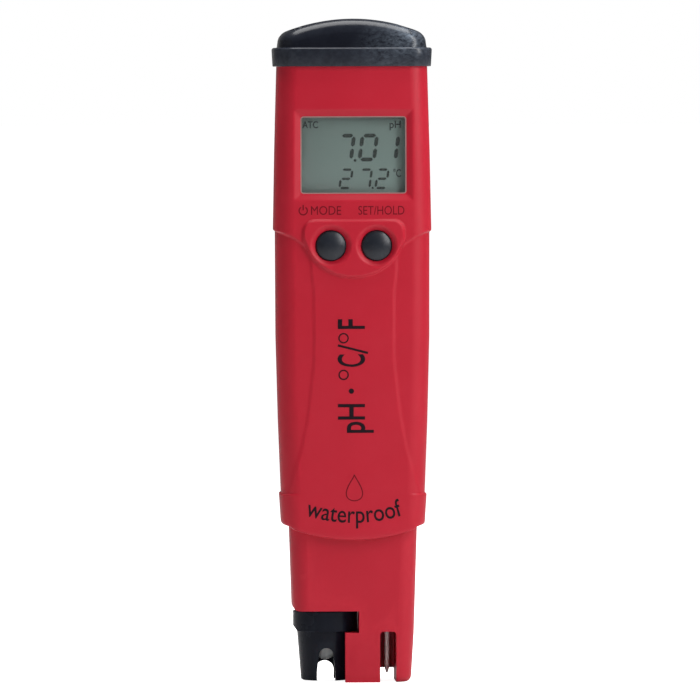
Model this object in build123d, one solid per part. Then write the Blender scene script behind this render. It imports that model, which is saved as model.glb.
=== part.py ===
"""Waterproof pocket pH tester, in millimetres.

+X is to the right of someone reading the display, +Y is to the rear, +Z is up.
The origin is the middle of the foot of the probe end, so z = 0 is the bench it stands on.
Each function makes one sub-part, and the table at the end writes each to its own STEP file.
"""

import os

from build123d import *

# ---------------------------------------------------------------- heights
TOP = 163.0  # highest point of the battery cap
RIM_TOP = 155.9  # top of the band round the battery cap
SHELL_TOP = 151.3  # where the cap band meets the case
BLOCK_FOOT = 111.0  # lower edge of the wider display block, at the sides
SKIRT_TOP = 46.4  # upper edge of the skirt round the probe end
ARC_RADIUS = 40.0  # the cap's crown and the skirt's lower edge share this radius
SKIRT_FOOT = 34.4  # lowest point of the skirt's curved edge
HOUSING_TOP = 48.0  # how far the probe housing reaches up inside the case

# ---------------------------------------------------------------- case outline at each height
# Each station is (height, half width, half depth).
SLEEVE = [
    (35.0, 17.1, 10.3),
    (47.5, 17.7, 10.7),
    (64.2, 18.33, 11.2),
    (85.0, 18.85, 11.6),
    (112.0, 18.93, 11.6),
]
BLOCK = [(98.0, 19.65, 12.0), (SHELL_TOP, 18.63, 12.0)]
SPINE = [(47.5, 17.7, 10.72), (62.0, 18.27, 11.38), (85.0, 18.85, 11.85), (103.0, 18.92, 11.85)]
SPINE_EDGE = [(10.5, 101.0), (9.8, 84.0), (11.4, 65.5), (15.6, 49.5)]  # (half width, height)
SKIRT = [(34.0, 17.6, 10.9), (SKIRT_TOP, 18.1, 11.1)]
CAVITY = [(HOUSING_TOP, 15.0, 8.2), (95.0, 16.9, 10.2), (152.0, 16.75, 10.2)]
HOUSING = [
    (0.0, 14.15, 8.4),
    (12.0, 14.9, 8.7),
    (37.5, 15.7, 8.9),
    (HOUSING_TOP, 15.75, 8.9),
]
CASE_CORNER = 5.0
CAVITY_CORNER = 3.6
HOUSING_CORNER = 4.2
CROWN = 0.6  # how far the front bows out between its corners
CHEEK = 0.4  # how far each side bows out
REAR_FLAT = 11.95  # y of the flat on the back of the display block

# ---------------------------------------------------------------- display and keys
WINDOW_WIDTH, WINDOW_HEIGHT = 26.0, 19.0
WINDOW_Z = 129.6
BEVEL = 1.4  # width of the sloping frame round the window
BEVEL_FLOOR = -10.9  # y of the window's inner rim
FRONT_WALL = -10.2  # y of the flat inside face behind the display
KEY_Z = 107.4
KEY_X = 5.6
KEY_RADIUS = 3.6
KEY_HOLE = 3.8
KEY_TRAVEL = 0.8
DISH_RADIUS = 4.9
KEY_FRONT, KEY_RIM, KEY_BACK = -13.0, -11.9, -11.1  # y of the dome's top, its edge, its back
STEM_END = -6.8
PAD_FRONT = -12.4
PAD_TOP = 113.6
PAD_HALF_WIDTH = 12.3
LOBE_RADIUS = 12.8
LOBE_FOOT = 99.6

# ---------------------------------------------------------------- electronics
BOARD_FRONT, BOARD_BACK = -5.6, -4.4
BOARD_HALF_WIDTH = 15.2
BOARD_LOW, BOARD_HIGH = 57.0, 140.2
# (x, height, y where the post leaves the front wall)
POSTS = [(-13.4, 62.0, -9.1), (13.4, 62.0, -9.1), (-13.6, 97.0, -10.5), (13.6, 97.0, -10.5)]
SCREW_TIP = -8.6

# ---------------------------------------------------------------- batteries and cap
CELL_RADIUS, CELL_HEIGHT = 5.8, 5.4
CELL_X = 6.2
CELL_FLOOR = 142.9
WELL_RADIUS = 5.95
TRAY_LOW, TRAY_HIGH = 140.9, 153.5
SCREW_PLACES = [(-13.3, -6.5), (13.3, -6.5), (-13.3, 6.5), (13.3, 6.5)]
SCREW_RADIUS = 1.0
HEAD_RADIUS = 1.9
HEAD_SEAT = 155.3

# ---------------------------------------------------------------- electrode and sensor
ELECTRODE_X = -6.85
COLLAR_RADIUS = 7.95
COLLAR_FLAT = 4.5  # the collar's rear is cut flat here, so a quarter turn frees it
COLLAR_LOW, COLLAR_HIGH = 12.35, 17.45
HEAD_TOP = 30.5
PLUG_RADIUS = 5.6
SOCKET_RADIUS = 5.75
SHROUD_TOP_RADIUS, SHROUD_FOOT_RADIUS = 7.0, 6.0
SHROUD_FOOT = 0.3
SHROUD_BORE = 4.9
NOTCH_WIDTH = 4.5
NOTCH_FRONT, NOTCH_REAR = 8.4, 4.7  # top of the arch in front and behind
LEG_LEFT = -2.2  # left edge of the housing's middle leg
SENSOR_X = 8.35
SENSOR_RADIUS = 0.58
SENSOR_SLOT = 4.0
SLOT_TOP = 12.5
CLEARANCE = 0.1


# ================================================================ helpers
def outline(half_width, half_depth, corner, crown=0.0, cheek=0.0):
    """Rounded rectangle as a face; the front (-Y) and the sides may bow out."""
    left, right = -half_width + cheek, half_width - cheek
    front, rear = -half_depth + crown, half_depth
    corners = [(left, front), (right, front), (right, rear), (left, rear)]
    if crown:
        front_edge = ThreePointArc(corners[0], (0, -half_depth), corners[1])
    else:
        front_edge = Line(corners[0], corners[1])
    if cheek:
        right_edge = ThreePointArc(corners[1], (half_width, 0), corners[2])
        left_edge = ThreePointArc(corners[3], (-half_width, 0), corners[0])
    else:
        right_edge = Line(corners[1], corners[2])
        left_edge = Line(corners[3], corners[0])
    face = make_face([front_edge, right_edge, Line(corners[2], corners[3]), left_edge])
    return fillet(face.vertices(), corner)


def tower(stations, corner, crown=0.0, cheek=0.0, grow=0.0):
    """Solid through the outline at each station, all grown by the same amount."""
    faces = [
        Pos(0, 0, z) * outline(w + grow, d + grow, corner + grow, crown, cheek)
        for z, w, d in stations
    ]
    return loft(faces, ruled=True)


def block_between(low, high):
    """Box from its lowest to its highest corner."""
    size = [b - a for a, b in zip(low, high)]
    middle = [(a + b) / 2 for a, b in zip(low, high)]
    return Pos(*middle) * Box(*size)


def front_prism(face, near, far):
    """Extrudes a face drawn in x and z (as its x and y) from y = near to y = far."""
    plane = Plane(origin=(0, far, 0), x_dir=(1, 0, 0), z_dir=(0, -1, 0))
    return extrude(plane * face, amount=far - near)


def rod(radius, low, high, x=0.0, y=0.0):
    """Upright cylinder between two heights."""
    return Pos(x, y, (low + high) / 2) * Cylinder(radius, high - low)


def pin_along_y(radius, near, far, x, z):
    """Cylinder lying front to back."""
    return Pos(x, (near + far) / 2, z) * Rot(90, 0, 0) * Cylinder(radius, far - near)


def cone_along_y(near_radius, far_radius, near, far, x, z):
    """Cone lying front to back, with one radius at each end."""
    return Pos(x, (near + far) / 2, z) * Rot(90, 0, 0) * Cone(
        far_radius, near_radius, far - near
    )


def ring(outer, inner, low, high, x=0.0, y=0.0):
    """Upright ring of rectangular section."""
    return rod(outer, low, high, x, y) - rod(inner, low - 1, high + 1, x, y)


def half_space(front):
    """Everything in front of the parting plane y = 0, or everything behind it."""
    if front:
        return block_between((-30, -30, 0), (30, 0, 200))
    return block_between((-30, 0, 0), (30, 30, 200))


# ================================================================ case shells
def bib_face():
    """Front view of the display block: a funnel from both sides into the key lobe."""
    shoulder_x, shoulder_z = 14.2, 109.0
    lobe = Pos(0, LOBE_FOOT + LOBE_RADIUS) * Circle(LOBE_RADIUS)
    funnel = make_face(
        Polyline(
            (-25, BLOCK_FOOT + 2.2),
            (-25, 160),
            (25, 160),
            (25, BLOCK_FOOT + 2.2),
            (19.4, BLOCK_FOOT),
            (shoulder_x, shoulder_z),
            (12.0, 107.0),
            (-12.0, 107.0),
            (-shoulder_x, shoulder_z),
            (-19.4, BLOCK_FOOT),
            close=True,
        )
    )
    return funnel + lobe


def spine_face():
    """Front view of the raised middle of the lower body, waisted and flaring to its foot."""
    right = Spline(*SPINE_EDGE)
    left = Spline(*[(-x, z) for x, z in SPINE_EDGE])
    return make_face([right, left, Line(right @ 0, left @ 0), Line(right @ 1, left @ 1)])


def pad_face():
    """Front view of the raised key pad: straight top, round foot."""
    side = 111.0 - LOBE_FOOT
    body = Pos(0, LOBE_FOOT + LOBE_RADIUS) * Circle(LOBE_RADIUS)
    body = body & (Pos(0, LOBE_FOOT + side / 2) * Rectangle(2 * PAD_HALF_WIDTH, side))
    top = Pos(0, PAD_TOP - 3.0) * RectangleRounded(2 * PAD_HALF_WIDTH, 6.0, 2.0)
    return body + top


def case_outside():
    """The whole outer body: sleeve, display block, key pad and skirt."""
    sleeve = tower(SLEEVE, CASE_CORNER, CROWN, CHEEK)
    block = tower(BLOCK, CASE_CORNER, CROWN, CHEEK)
    bib = block & front_prism(bib_face(), -15, 0)
    rear_block = block & block_between((-25, 0, BLOCK_FOOT), (25, REAR_FLAT, SHELL_TOP))
    pad = front_prism(pad_face(), PAD_FRONT, -9)
    pad = fillet(pad.edges().group_by(Axis.Y)[0], 0.3)
    spine = tower(SPINE, CASE_CORNER, CROWN, CHEEK) & front_prism(spine_face(), -15, -5)
    skirt = tower(SKIRT, CASE_CORNER, CROWN, CHEEK)
    body = sleeve + spine + bib + rear_block + pad + skirt
    arc_centre = SKIRT_FOOT + ARC_RADIUS
    keep = pin_along_y(ARC_RADIUS, -20, 20, 0, arc_centre)
    keep = keep + block_between((-25, -20, arc_centre - 20), (25, 20, TOP))
    return body & keep


def window_cut():
    """The window's opening with its sloping frame."""
    slope = BEVEL / (12.0 + BEVEL_FLOOR)
    out = 13.0 + BEVEL_FLOOR
    wide = (WINDOW_WIDTH + 2 * slope * out, WINDOW_HEIGHT + 2 * slope * out)
    rim = RectangleRounded(WINDOW_WIDTH, WINDOW_HEIGHT, 0.8)
    near = Plane(origin=(0, -13.0, WINDOW_Z), x_dir=(1, 0, 0), z_dir=(0, -1, 0))
    floor = Plane(origin=(0, BEVEL_FLOOR, WINDOW_Z), x_dir=(1, 0, 0), z_dir=(0, -1, 0))
    frame = loft([near * RectangleRounded(*wide, 1.6), floor * rim], ruled=True)
    through = front_prism(Pos(0, WINDOW_Z) * rim, BEVEL_FLOOR - 0.01, -8)
    return frame + through


def key_cuts():
    """A round hole in a shallow dish for each key."""
    cuts = []
    for x in (-KEY_X, KEY_X):
        cuts.append(pin_along_y(KEY_HOLE, -14, -8, x, KEY_Z))
        cuts.append(cone_along_y(DISH_RADIUS + 0.4, KEY_HOLE, -12.7, -11.5, x, KEY_Z))
    return cuts


def housing_bore():
    """The hole at the foot of the case that takes the probe housing."""
    return tower(
        [(30.0, 15.85, 9.0), (HOUSING_TOP + CLEARANCE, 15.85, 9.0)], HOUSING_CORNER, 0.3
    )


def board_posts():
    """Four pillars from the front wall that carry the main board."""
    posts = [pin_along_y(1.9, root, BOARD_FRONT, x, z) for x, z, root in POSTS]
    pilots = [pin_along_y(0.8, SCREW_TIP - 0.2, 0, x, z) for x, z, root in POSTS]
    return posts, pilots


def window_seat():
    """Flat-bottomed recess behind the opening, which takes the lens flange and its seal."""
    wide, tall = WINDOW_WIDTH + 4.0, WINDOW_HEIGHT + 3.2
    return front_prism(Pos(0, WINDOW_Z) * RectangleRounded(wide, tall, 1.2), FRONT_WALL, -6)


def shells():
    """Front and rear shell, with a tongue round the parting line."""
    outside = case_outside()
    cavity = tower(CAVITY, CAVITY_CORNER)
    hollow = outside - cavity - housing_bore()
    tongue_depth, tongue_thickness = 0.8, 0.8
    inner_band = tower(CAVITY, CAVITY_CORNER, grow=tongue_thickness) - cavity
    inner_band = inner_band & block_between((-25, -20, 52), (25, 20, 145))
    groove_band = tower(CAVITY, CAVITY_CORNER, grow=tongue_thickness + 0.05) - cavity
    groove_band = groove_band & block_between((-25, -20, 51.9), (25, 20, 145.1))
    tongue = inner_band & block_between((-25, -tongue_depth, 0), (25, 0, 200))
    groove = groove_band & block_between((-25, -tongue_depth - 0.05, 0), (25, 0, 200))
    posts, pilots = board_posts()
    front = hollow & half_space(True)
    front = front - groove
    for post in posts:
        front = front + post
    for cut in [window_cut(), window_seat(), *key_cuts(), *pilots]:
        front = front - cut
    rear = (hollow & half_space(False)) + tongue
    return front, rear


# ================================================================ display
def flange_face():
    """Outline of the lens flange and of the seal in front of it."""
    return Pos(0, WINDOW_Z) * RectangleRounded(WINDOW_WIDTH + 3.4, WINDOW_HEIGHT + 2.6, 1.0)


def display_window():
    """Clear lens: a plug that fills the opening and a flange behind it."""
    plug = front_prism(
        Pos(0, WINDOW_Z) * RectangleRounded(WINDOW_WIDTH - 0.2, WINDOW_HEIGHT - 0.2, 0.7),
        BEVEL_FLOOR + 0.1,
        FRONT_WALL + 0.2,
    )
    flange = front_prism(flange_face(), FRONT_WALL + 0.2, -9.3)
    return plug + flange


def window_seal():
    """Adhesive frame that seals the lens to the case."""
    inner = Pos(0, WINDOW_Z) * RectangleRounded(WINDOW_WIDTH + 0.2, WINDOW_HEIGHT + 0.2, 0.8)
    return front_prism(flange_face() - inner, FRONT_WALL, FRONT_WALL + 0.2)


def lcd_glass():
    """The two glass plates of the liquid crystal cell; the rear one has a contact ledge."""
    front_plate = block_between((-14.4, -9.0, 119.6), (14.4, -8.0, 139.6))
    rear_plate = block_between((-14.4, -8.0, 118.6), (14.4, -7.1, 140.6))
    return front_plate + rear_plate


def lcd_frame():
    """Moulded holder round the glass, standing on the board."""
    outer = block_between((-15.4, -8.8, 117.6), (15.4, BOARD_FRONT, 140.85))
    inner = block_between((-14.5, -9.0, 118.5), (14.5, -5.0, 140.7))
    return outer - inner


def zebra_strips():
    """Elastomer connectors that carry the segment lines from board to glass."""
    return [
        block_between((-13.0, -7.1, low), (13.0, BOARD_FRONT, low + 1.8))
        for low in (119.2, 138.2)
    ]


# ================================================================ electronics
def main_board():
    """Printed circuit board with its four screw holes."""
    board = block_between(
        (-BOARD_HALF_WIDTH, BOARD_FRONT, BOARD_LOW),
        (BOARD_HALF_WIDTH, BOARD_BACK, BOARD_HIGH),
    )
    board = fillet(board.edges().filter_by(Axis.Y), 1.0)
    for x, z, root in POSTS:
        board = board - pin_along_y(1.1, -7, -3, x, z)
    return board


def board_screws():
    """Pan-head screws that hold the board on its pillars."""
    screws = []
    for x, z, root in POSTS:
        shank = pin_along_y(0.75, SCREW_TIP, BOARD_BACK, x, z)
        head = pin_along_y(1.7, BOARD_BACK, -3.2, x, z)
        slot = block_between((x - 1.2, -3.6, z - 0.2), (x + 1.2, -3.0, z + 0.2))
        screws.append(shank + head - slot - Pos(x, -3.3, z) * Box(0.4, 0.6, 2.4))
    return screws


def controller_chip():
    """Flat controller package with a row of leads on each side."""
    chip = block_between((-5.0, -4.2, 84.0), (5.0, -2.8, 94.0))
    chip = chamfer(chip.edges().group_by(Axis.Y)[-1], 0.3)
    leads = []
    for i in range(8):
        along = -4.2 + 1.2 * i
        for side in (-1, 1):
            beside = side * 5.45
            leads.append(Pos(beside, -4.15, 89 + along) * Box(1.1, 0.5, 0.45))
            leads.append(Pos(along, -4.15, 89 + beside) * Box(0.45, 0.5, 1.1))
    for lead in leads:
        chip = chip + lead
    return chip


def board_parts():
    """Amplifiers, crystal and capacitors soldered on the back of the board."""
    amplifiers = [
        block_between((x - 2.0, BOARD_BACK, 72), (x + 2.0, -2.9, 77)) for x in (-6, 6)
    ]
    crystal = Pos(-10.5, BOARD_BACK + 1.2, 88) * Box(3.2, 2.4, 8.0)
    crystal = fillet(crystal.edges().filter_by(Axis.Y), 1.2)
    chips = [
        Pos(x, BOARD_BACK + 0.4, z) * Box(1.6, 0.8, 0.9)
        for x in (-9, -3, 3, 9)
        for z in (68, 81, 99, 104)
    ]
    return [*amplifiers, crystal, *chips]


def probe_connector():
    """Header on the board where the probe leads are soldered."""
    return block_between((-6.0, BOARD_BACK, 60.0), (8.0, -1.9, 64.0))


# ================================================================ keys
def keypad_web():
    """Silicone sheet that seals both key holes from the inside."""
    sheet = front_prism(
        Pos(0, KEY_Z) * RectangleRounded(23.6, 11.6, 2.0), FRONT_WALL, FRONT_WALL + 0.8
    )
    for x in (-KEY_X, KEY_X):
        sheet = sheet - pin_along_y(2.6, -12, -8, x, KEY_Z)
    return sheet


def key(x):
    """Domed key with the stem that pushes its contact."""
    rise = KEY_RIM - KEY_FRONT
    dome_radius = (KEY_RADIUS**2 + rise**2) / (2 * rise)
    head = pin_along_y(KEY_RADIUS, KEY_FRONT - 1, KEY_BACK, x, KEY_Z)
    head = head & (Pos(x, KEY_FRONT + dome_radius, KEY_Z) * Sphere(dome_radius))
    return head + pin_along_y(2.4, KEY_BACK - 0.01, STEM_END, x, KEY_Z)


def contact_pill(x):
    """Carbon contact under a key's stem."""
    return pin_along_y(2.0, STEM_END, STEM_END + 0.3, x, KEY_Z)


# ================================================================ batteries
def tray_section(width, depth, low, high):
    """Straight rounded block, centred on the case."""
    return tower([(low, width, depth), (high, width, depth)], 3.4)


def battery_tray():
    """Moulded insert in the top of the case: two wells, two screw bosses and the neck."""
    tray = tray_section(16.6, 10.0, TRAY_LOW, SHELL_TOP)
    tray = tray + tray_section(16.0, 9.6, SHELL_TOP, TRAY_HIGH)
    for x in (-CELL_X, CELL_X):
        tray = tray - rod(WELL_RADIUS, TRAY_LOW + 0.9, TRAY_HIGH + 1, x)
        tray = tray - rod(1.2, TRAY_LOW - 1, TRAY_HIGH, x)
    for x, y in SCREW_PLACES:
        tray = tray - rod(1.6, 145.9, TRAY_HIGH + 1, x, y)
    return tray


def button_cell(x, low):
    """One alkaline cell: a can with its smaller negative cap downwards."""
    can = rod(CELL_RADIUS, low + 0.7, low + CELL_HEIGHT, x)
    can = fillet(can.edges().group_by(Axis.Z)[-1], 0.5)
    return can + rod(4.7, low, low + 0.71, x)


def battery_springs():
    """Coil spring under each pair of cells, drawn at its squeezed height."""
    springs = []
    wire, coil_radius, pitch, turns, low = 0.16, 3.6, 0.36, 2, TRAY_LOW + 1.1
    for x in (-CELL_X, CELL_X):
        path = Helix(pitch, pitch * turns, coil_radius, center=(x, 0, low))
        start = Plane(origin=path @ 0, z_dir=path % 0)
        springs.append(sweep(start * Circle(wire), path=path))
    return springs


def battery_leads():
    """Leads from the springs, through the tray's floor, to the back of the board."""
    leads = []
    for x in (-CELL_X, CELL_X):
        start = (x, 0, TRAY_LOW + 0.8)
        path = FilletPolyline(start, (x, 0, 137.0), (x, BOARD_BACK, 137.0), radius=1.8)
        leads.append(sweep(Plane(origin=start) * Circle(0.5), path=path))
    return leads


def brass_inserts():
    """Threaded brass bushes for the four cap screws."""
    return [ring(1.58, SCREW_RADIUS + 0.05, 146.0, 153.3, x, y) for x, y in SCREW_PLACES]


# ================================================================ cap
def top_cap():
    """Battery cap: a band that overhangs the case and a dome on it, hollow below."""
    band = tower([(SHELL_TOP, 19.35, 12.85), (RIM_TOP, 19.6, 13.0)], 5.6, CROWN, CHEEK)
    band = fillet(band.edges().group_by(Axis.Z)[-1], 0.35)
    dome = tower([(RIM_TOP - 1, 18.3, 11.4), (TOP + 2, 18.0, 11.2)], 5.0, CROWN, CHEEK)
    dome = dome & pin_along_y(ARC_RADIUS, -20, 20, 0, TOP - ARC_RADIUS)
    crown_edges = dome.edges().filter_by(lambda e: e.center().Z > RIM_TOP + 1)
    crown_edges = crown_edges.filter_by(lambda e: abs(e.tangent_at(0.5).Z) < 0.75)
    dome = fillet(crown_edges, 1.9)
    cap = band + dome
    cap = cap - tray_section(17.7, 11.0, SHELL_TOP - 1, 152.3)
    cap = cap - tray_section(16.3, 9.9, SHELL_TOP, 154.15)
    cap = cap - block_between((-10.5, -7.5, 154), (10.5, 7.5, 158.6))
    for x, y in SCREW_PLACES:
        cap = cap - rod(HEAD_RADIUS + 0.3, HEAD_SEAT, TOP + 1, x, y)
        cap = cap - rod(SCREW_RADIUS + 0.1, 150, 160, x, y)
    return cap


def cap_gasket():
    """Silicone ring squeezed between the cap and the top of the case."""
    outer = tray_section(17.6, 10.9, SHELL_TOP, 152.3)
    return outer - tray_section(16.1, 9.7, SHELL_TOP - 1, 153)


def cap_screws():
    """Four cross-head machine screws that hold the cap down."""
    screws = []
    for x, y in SCREW_PLACES:
        shank = rod(SCREW_RADIUS, 146.6, HEAD_SEAT, x, y)
        head = rod(HEAD_RADIUS, HEAD_SEAT, HEAD_SEAT + 1.5, x, y)
        head = fillet(head.edges().group_by(Axis.Z)[-1], 0.5)
        screw = shank + head
        for size in ((2.2, 0.5, 1.6), (0.5, 2.2, 1.6)):
            screw = screw - Pos(x, y, HEAD_SEAT + 1.5) * Box(*size)
        screws.append(screw)
    return screws


def battery_link():
    """Plated strip under the cap that joins the tops of the two cell stacks."""
    strip = block_between((-12.2, -3.5, 153.75), (12.2, 3.5, 154.1))
    return fillet(strip.edges().filter_by(Axis.Z), 1.2)


# ================================================================ probe housing
def collar_window():
    """Room for the electrode's collar, open at the front, left and rear."""
    right = ELECTRODE_X + COLLAR_RADIUS + CLEARANCE
    low, high = COLLAR_LOW - CLEARANCE, COLLAR_HIGH + CLEARANCE
    return block_between((-25, -20, low), (right, 20, high))


def electrode_channel():
    """Room below the collar for the shroud: a hollow in the housing's left face."""
    open_side = block_between((-25, -20, -1), (LEG_LEFT, 20, COLLAR_LOW))
    return open_side + rod(SHROUD_TOP_RADIUS + 0.15, -1, COLLAR_LOW, ELECTRODE_X)


def round_off(x, z, radius):
    """Cutter that rounds a lower left corner, seen from the front."""
    square = Pos(x + radius / 2 - 1, z + radius / 2 - 1) * Rectangle(radius + 2, radius + 2)
    return front_prism(square - Pos(x + radius, z + radius) * Circle(radius), -20, 20)


def sensor_slot():
    """Slot that lets the liquid reach the temperature sensor."""
    half = SENSOR_SLOT / 2
    slot = front_prism(
        Pos(SENSOR_X, SLOT_TOP / 2 - 1)
        * RectangleRounded(SENSOR_SLOT, SLOT_TOP + 2, 0.9),
        -12,
        4.5,
    )
    rear_notch = block_between((SENSOR_X - half, 4, -1), (SENSOR_X + half, 12, 2.9))
    return slot + rear_notch


def probe_housing():
    """Lower body: carries the electrode's socket and the temperature sensor."""
    body = tower(HOUSING, HOUSING_CORNER, 0.3, 0.3)
    floor = COLLAR_HIGH + 1.9
    inside = tower([(floor, 13.2, 6.9), (HOUSING_TOP + 1, 13.9, 7.1)], 2.6)
    socket_tower = rod(SOCKET_RADIUS + 1.15, floor - 1, 35.0, ELECTRODE_X)
    body = body - (inside - socket_tower)
    body = body - rod(SOCKET_RADIUS, COLLAR_HIGH, 36.0, ELECTRODE_X)
    body = body - rod(2.0, 14.5, floor + 1, SENSOR_X)
    body = body - rod(SENSOR_RADIUS + 0.02, 10, 16, SENSOR_X)
    body = body - collar_window() - electrode_channel() - sensor_slot()
    body = body - round_off(-15.1, COLLAR_HIGH + CLEARANCE, 1.7)
    seal_groove = tower([(42.8, 16.2, 9.4), (44.4, 16.2, 9.4)], HOUSING_CORNER, 0.3)
    seal_floor = tower([(42.0, 14.95, 8.15), (45.0, 14.95, 8.15)], HOUSING_CORNER, 0.3)
    body = body - (seal_groove - seal_floor)
    foot = body.edges().filter_by(lambda e: abs(e.center().Z) < 0.01)
    right_foot = foot.filter_by(lambda e: e.center().X > 13.9)
    return fillet(right_foot, 1.6)


def housing_seal():
    """Rubber ring between the probe housing and the case."""
    outer = tower([(42.85, 15.8, 8.95), (44.35, 15.8, 8.95)], HOUSING_CORNER, 0.3)
    return outer - tower([(42.0, 15.0, 8.2), (45.0, 15.0, 8.2)], HOUSING_CORNER, 0.3)


# ================================================================ electrode
def shroud_notches():
    """Arched openings in the shroud, tall at the front and low at the rear."""
    cuts = []
    foot = NOTCH_WIDTH / 2
    for top, neck, near, far in ((NOTCH_FRONT, 1.8, -12, 0), (NOTCH_REAR, foot, 0, 12)):
        spring = top - neck
        knee = min(2.5, spring - 0.5)
        corners = [(foot, -1), (foot, knee), (neck, spring), (-neck, spring), (-foot, knee)]
        sides = make_face(Polyline(*corners, (-foot, -1), close=True))
        arch = Pos(ELECTRODE_X, 0) * (sides + Pos(0, spring) * Circle(neck))
        cuts.append(front_prism(arch, near, far))
    return cuts


def electrode_body():
    """Black moulding: plug with its seal groove, collar, and the open shroud."""
    x = ELECTRODE_X
    plug = rod(PLUG_RADIUS, COLLAR_HIGH - 1, HEAD_TOP, x)
    plug = chamfer(plug.edges().group_by(Axis.Z)[-1], 0.5)
    plug = plug - ring(PLUG_RADIUS + 1, 4.45, 23.4, 25.0, x)
    collar = rod(COLLAR_RADIUS, COLLAR_LOW, COLLAR_HIGH, x)
    collar = fillet(collar.edges().filter_by(GeomType.CIRCLE), 0.25)
    collar = collar - block_between((x - 10, COLLAR_FLAT, 10), (x + 10, 20, 20))
    left = x - COLLAR_RADIUS
    corners = [(left - 1, 12.0), (left - 1, 13.8), (left, 13.8), (left + 1.3, 12.0)]
    collar = collar - front_prism(make_face(Polyline(*corners, close=True)), -20, 20)
    height = COLLAR_LOW + 0.5 - SHROUD_FOOT
    shroud = Cone(SHROUD_FOOT_RADIUS, SHROUD_TOP_RADIUS, height)
    shroud = fillet(shroud.edges().group_by(Axis.Z)[0], 0.6)
    body = plug + collar + Pos(x, 0, SHROUD_FOOT + height / 2) * shroud
    body = body - rod(SHROUD_BORE, -1, 13.0, x) - rod(2.95, 12, 28.5, x)
    for cut in shroud_notches():
        body = body - cut
    return body


def electrode_seal():
    """O-ring in the plug's groove."""
    return Pos(ELECTRODE_X, 0, 24.2) * Torus(5.1, 0.6)


def glass_bulb():
    """Thin glass tube with the pH-sensing bulb blown on its end."""
    x, wall = ELECTRODE_X, 0.4
    outer = rod(2.9, 8.6, 28.0, x) + Pos(x, 0, 8.6) * Sphere(3.3)
    inner = rod(2.9 - wall, 8.6, 29.0, x) + Pos(x, 0, 8.6) * Sphere(3.3 - wall)
    return outer - inner


def reference_junction():
    """Porous ring that joins the inner salt bridge to the liquid."""
    return ring(SHROUD_BORE - 0.05, 3.0, 11.2, 13.0, ELECTRODE_X)


def silver_wire():
    """Silver wire with its chloride tip, inside the bulb."""
    return rod(0.25, 9.0, 27.5, ELECTRODE_X) + rod(0.5, 7.4, 10.5, ELECTRODE_X)


def electrode_contacts():
    """Gilt pins on top of the electrode."""
    pins = []
    for dx in (-2.0, 2.0):
        pin = rod(0.5, HEAD_TOP, 33.2, ELECTRODE_X + dx)
        pins.append(fillet(pin.edges().group_by(Axis.Z)[-1], 0.3))
    return pins


def electrode_socket():
    """Insulating insert at the blind end of the socket, with a curved slot for the pins."""
    x = ELECTRODE_X
    insert = rod(SOCKET_RADIUS - 0.02, 31.0, 35.6, x)
    return insert - ring(2.8, 1.2, 30.0, 34.0, x)


def socket_rings():
    """Contact rings in the socket that the electrode's pins press on."""
    return ring(2.78, 1.22, 33.4, 33.98, ELECTRODE_X)


# ================================================================ temperature sensor
def sensor_tube():
    """Steel tube with a pointed, closed tip."""
    tip = Pos(SENSOR_X, 0, 2.6) * Cone(0.25, SENSOR_RADIUS, 1.2)
    tube = rod(SENSOR_RADIUS, 3.2, 21.5, SENSOR_X) + tip
    return tube - rod(0.4, 3.6, 22, SENSOR_X)


def sensor_grommet():
    """Sealing bush where the sensor passes through the housing."""
    return ring(1.98, SENSOR_RADIUS + 0.02, 14.52, 19.3, SENSOR_X)


def thermistor():
    """Bead at the tip of the sensor tube."""
    return Pos(SENSOR_X, 0, 4.3) * Sphere(0.34) + rod(0.15, 4.3, 21.0, SENSOR_X)


def probe_leads():
    """Insulated leads from the socket and the sensor up to the board."""
    lead_radius, bend = 0.45, 2.5
    header_low, header_y = 59.95, -3.1
    routes = [
        ((ELECTRODE_X - 2, 0, 35.7), (ELECTRODE_X - 2, 0, 46), (-4.5, header_y, 52)),
        ((ELECTRODE_X + 2, 0, 35.7), (ELECTRODE_X + 2, 0, 44), (-1.0, header_y, 52)),
        ((SENSOR_X - 0.6, 0, 21.6), (SENSOR_X - 0.6, 0, 43), (3.0, header_y, 51)),
        ((SENSOR_X + 0.6, 0, 21.6), (SENSOR_X + 0.6, 0, 45), (6.5, header_y, 53)),
    ]
    leads = []
    for start, knee, lift in routes:
        end = (lift[0], lift[1], header_low)
        path = FilletPolyline(start, knee, lift, end, radius=bend)
        section = Plane(origin=start, z_dir=(0, 0, 1)) * Circle(lead_radius)
        leads.append(sweep(section, path=path))
    return leads


# ================================================================ writing the parts
def write(name, shapes):
    """Writes one sub-part, given as a shape or a list of separate solids."""
    if isinstance(shapes, (list, tuple)):
        shapes = Compound(children=[s for shape in shapes for s in shape.solids()])
    export_step(shapes, f"parts/{name}.step")
    print(name, round(shapes.volume, 1))


os.makedirs("parts", exist_ok=True)

front_shell, rear_shell = shells()
write("front_shell", front_shell)
write("rear_shell", rear_shell)

SUB_PARTS = [
    display_window,
    window_seal,
    lcd_glass,
    lcd_frame,
    zebra_strips,
    main_board,
    board_screws,
    controller_chip,
    board_parts,
    probe_connector,
    keypad_web,
    battery_tray,
    battery_springs,
    battery_leads,
    brass_inserts,
    top_cap,
    cap_gasket,
    cap_screws,
    battery_link,
    probe_housing,
    housing_seal,
    electrode_body,
    electrode_seal,
    glass_bulb,
    reference_junction,
    silver_wire,
    electrode_contacts,
    electrode_socket,
    socket_rings,
    sensor_tube,
    sensor_grommet,
    thermistor,
    probe_leads,
]
for make in SUB_PARTS:
    write(make.__name__, make())

for side, x in (("mode", -KEY_X), ("hold", KEY_X)):
    write(f"{side}_key", key(x))
    write(f"{side}_contact_pill", contact_pill(x))

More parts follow.
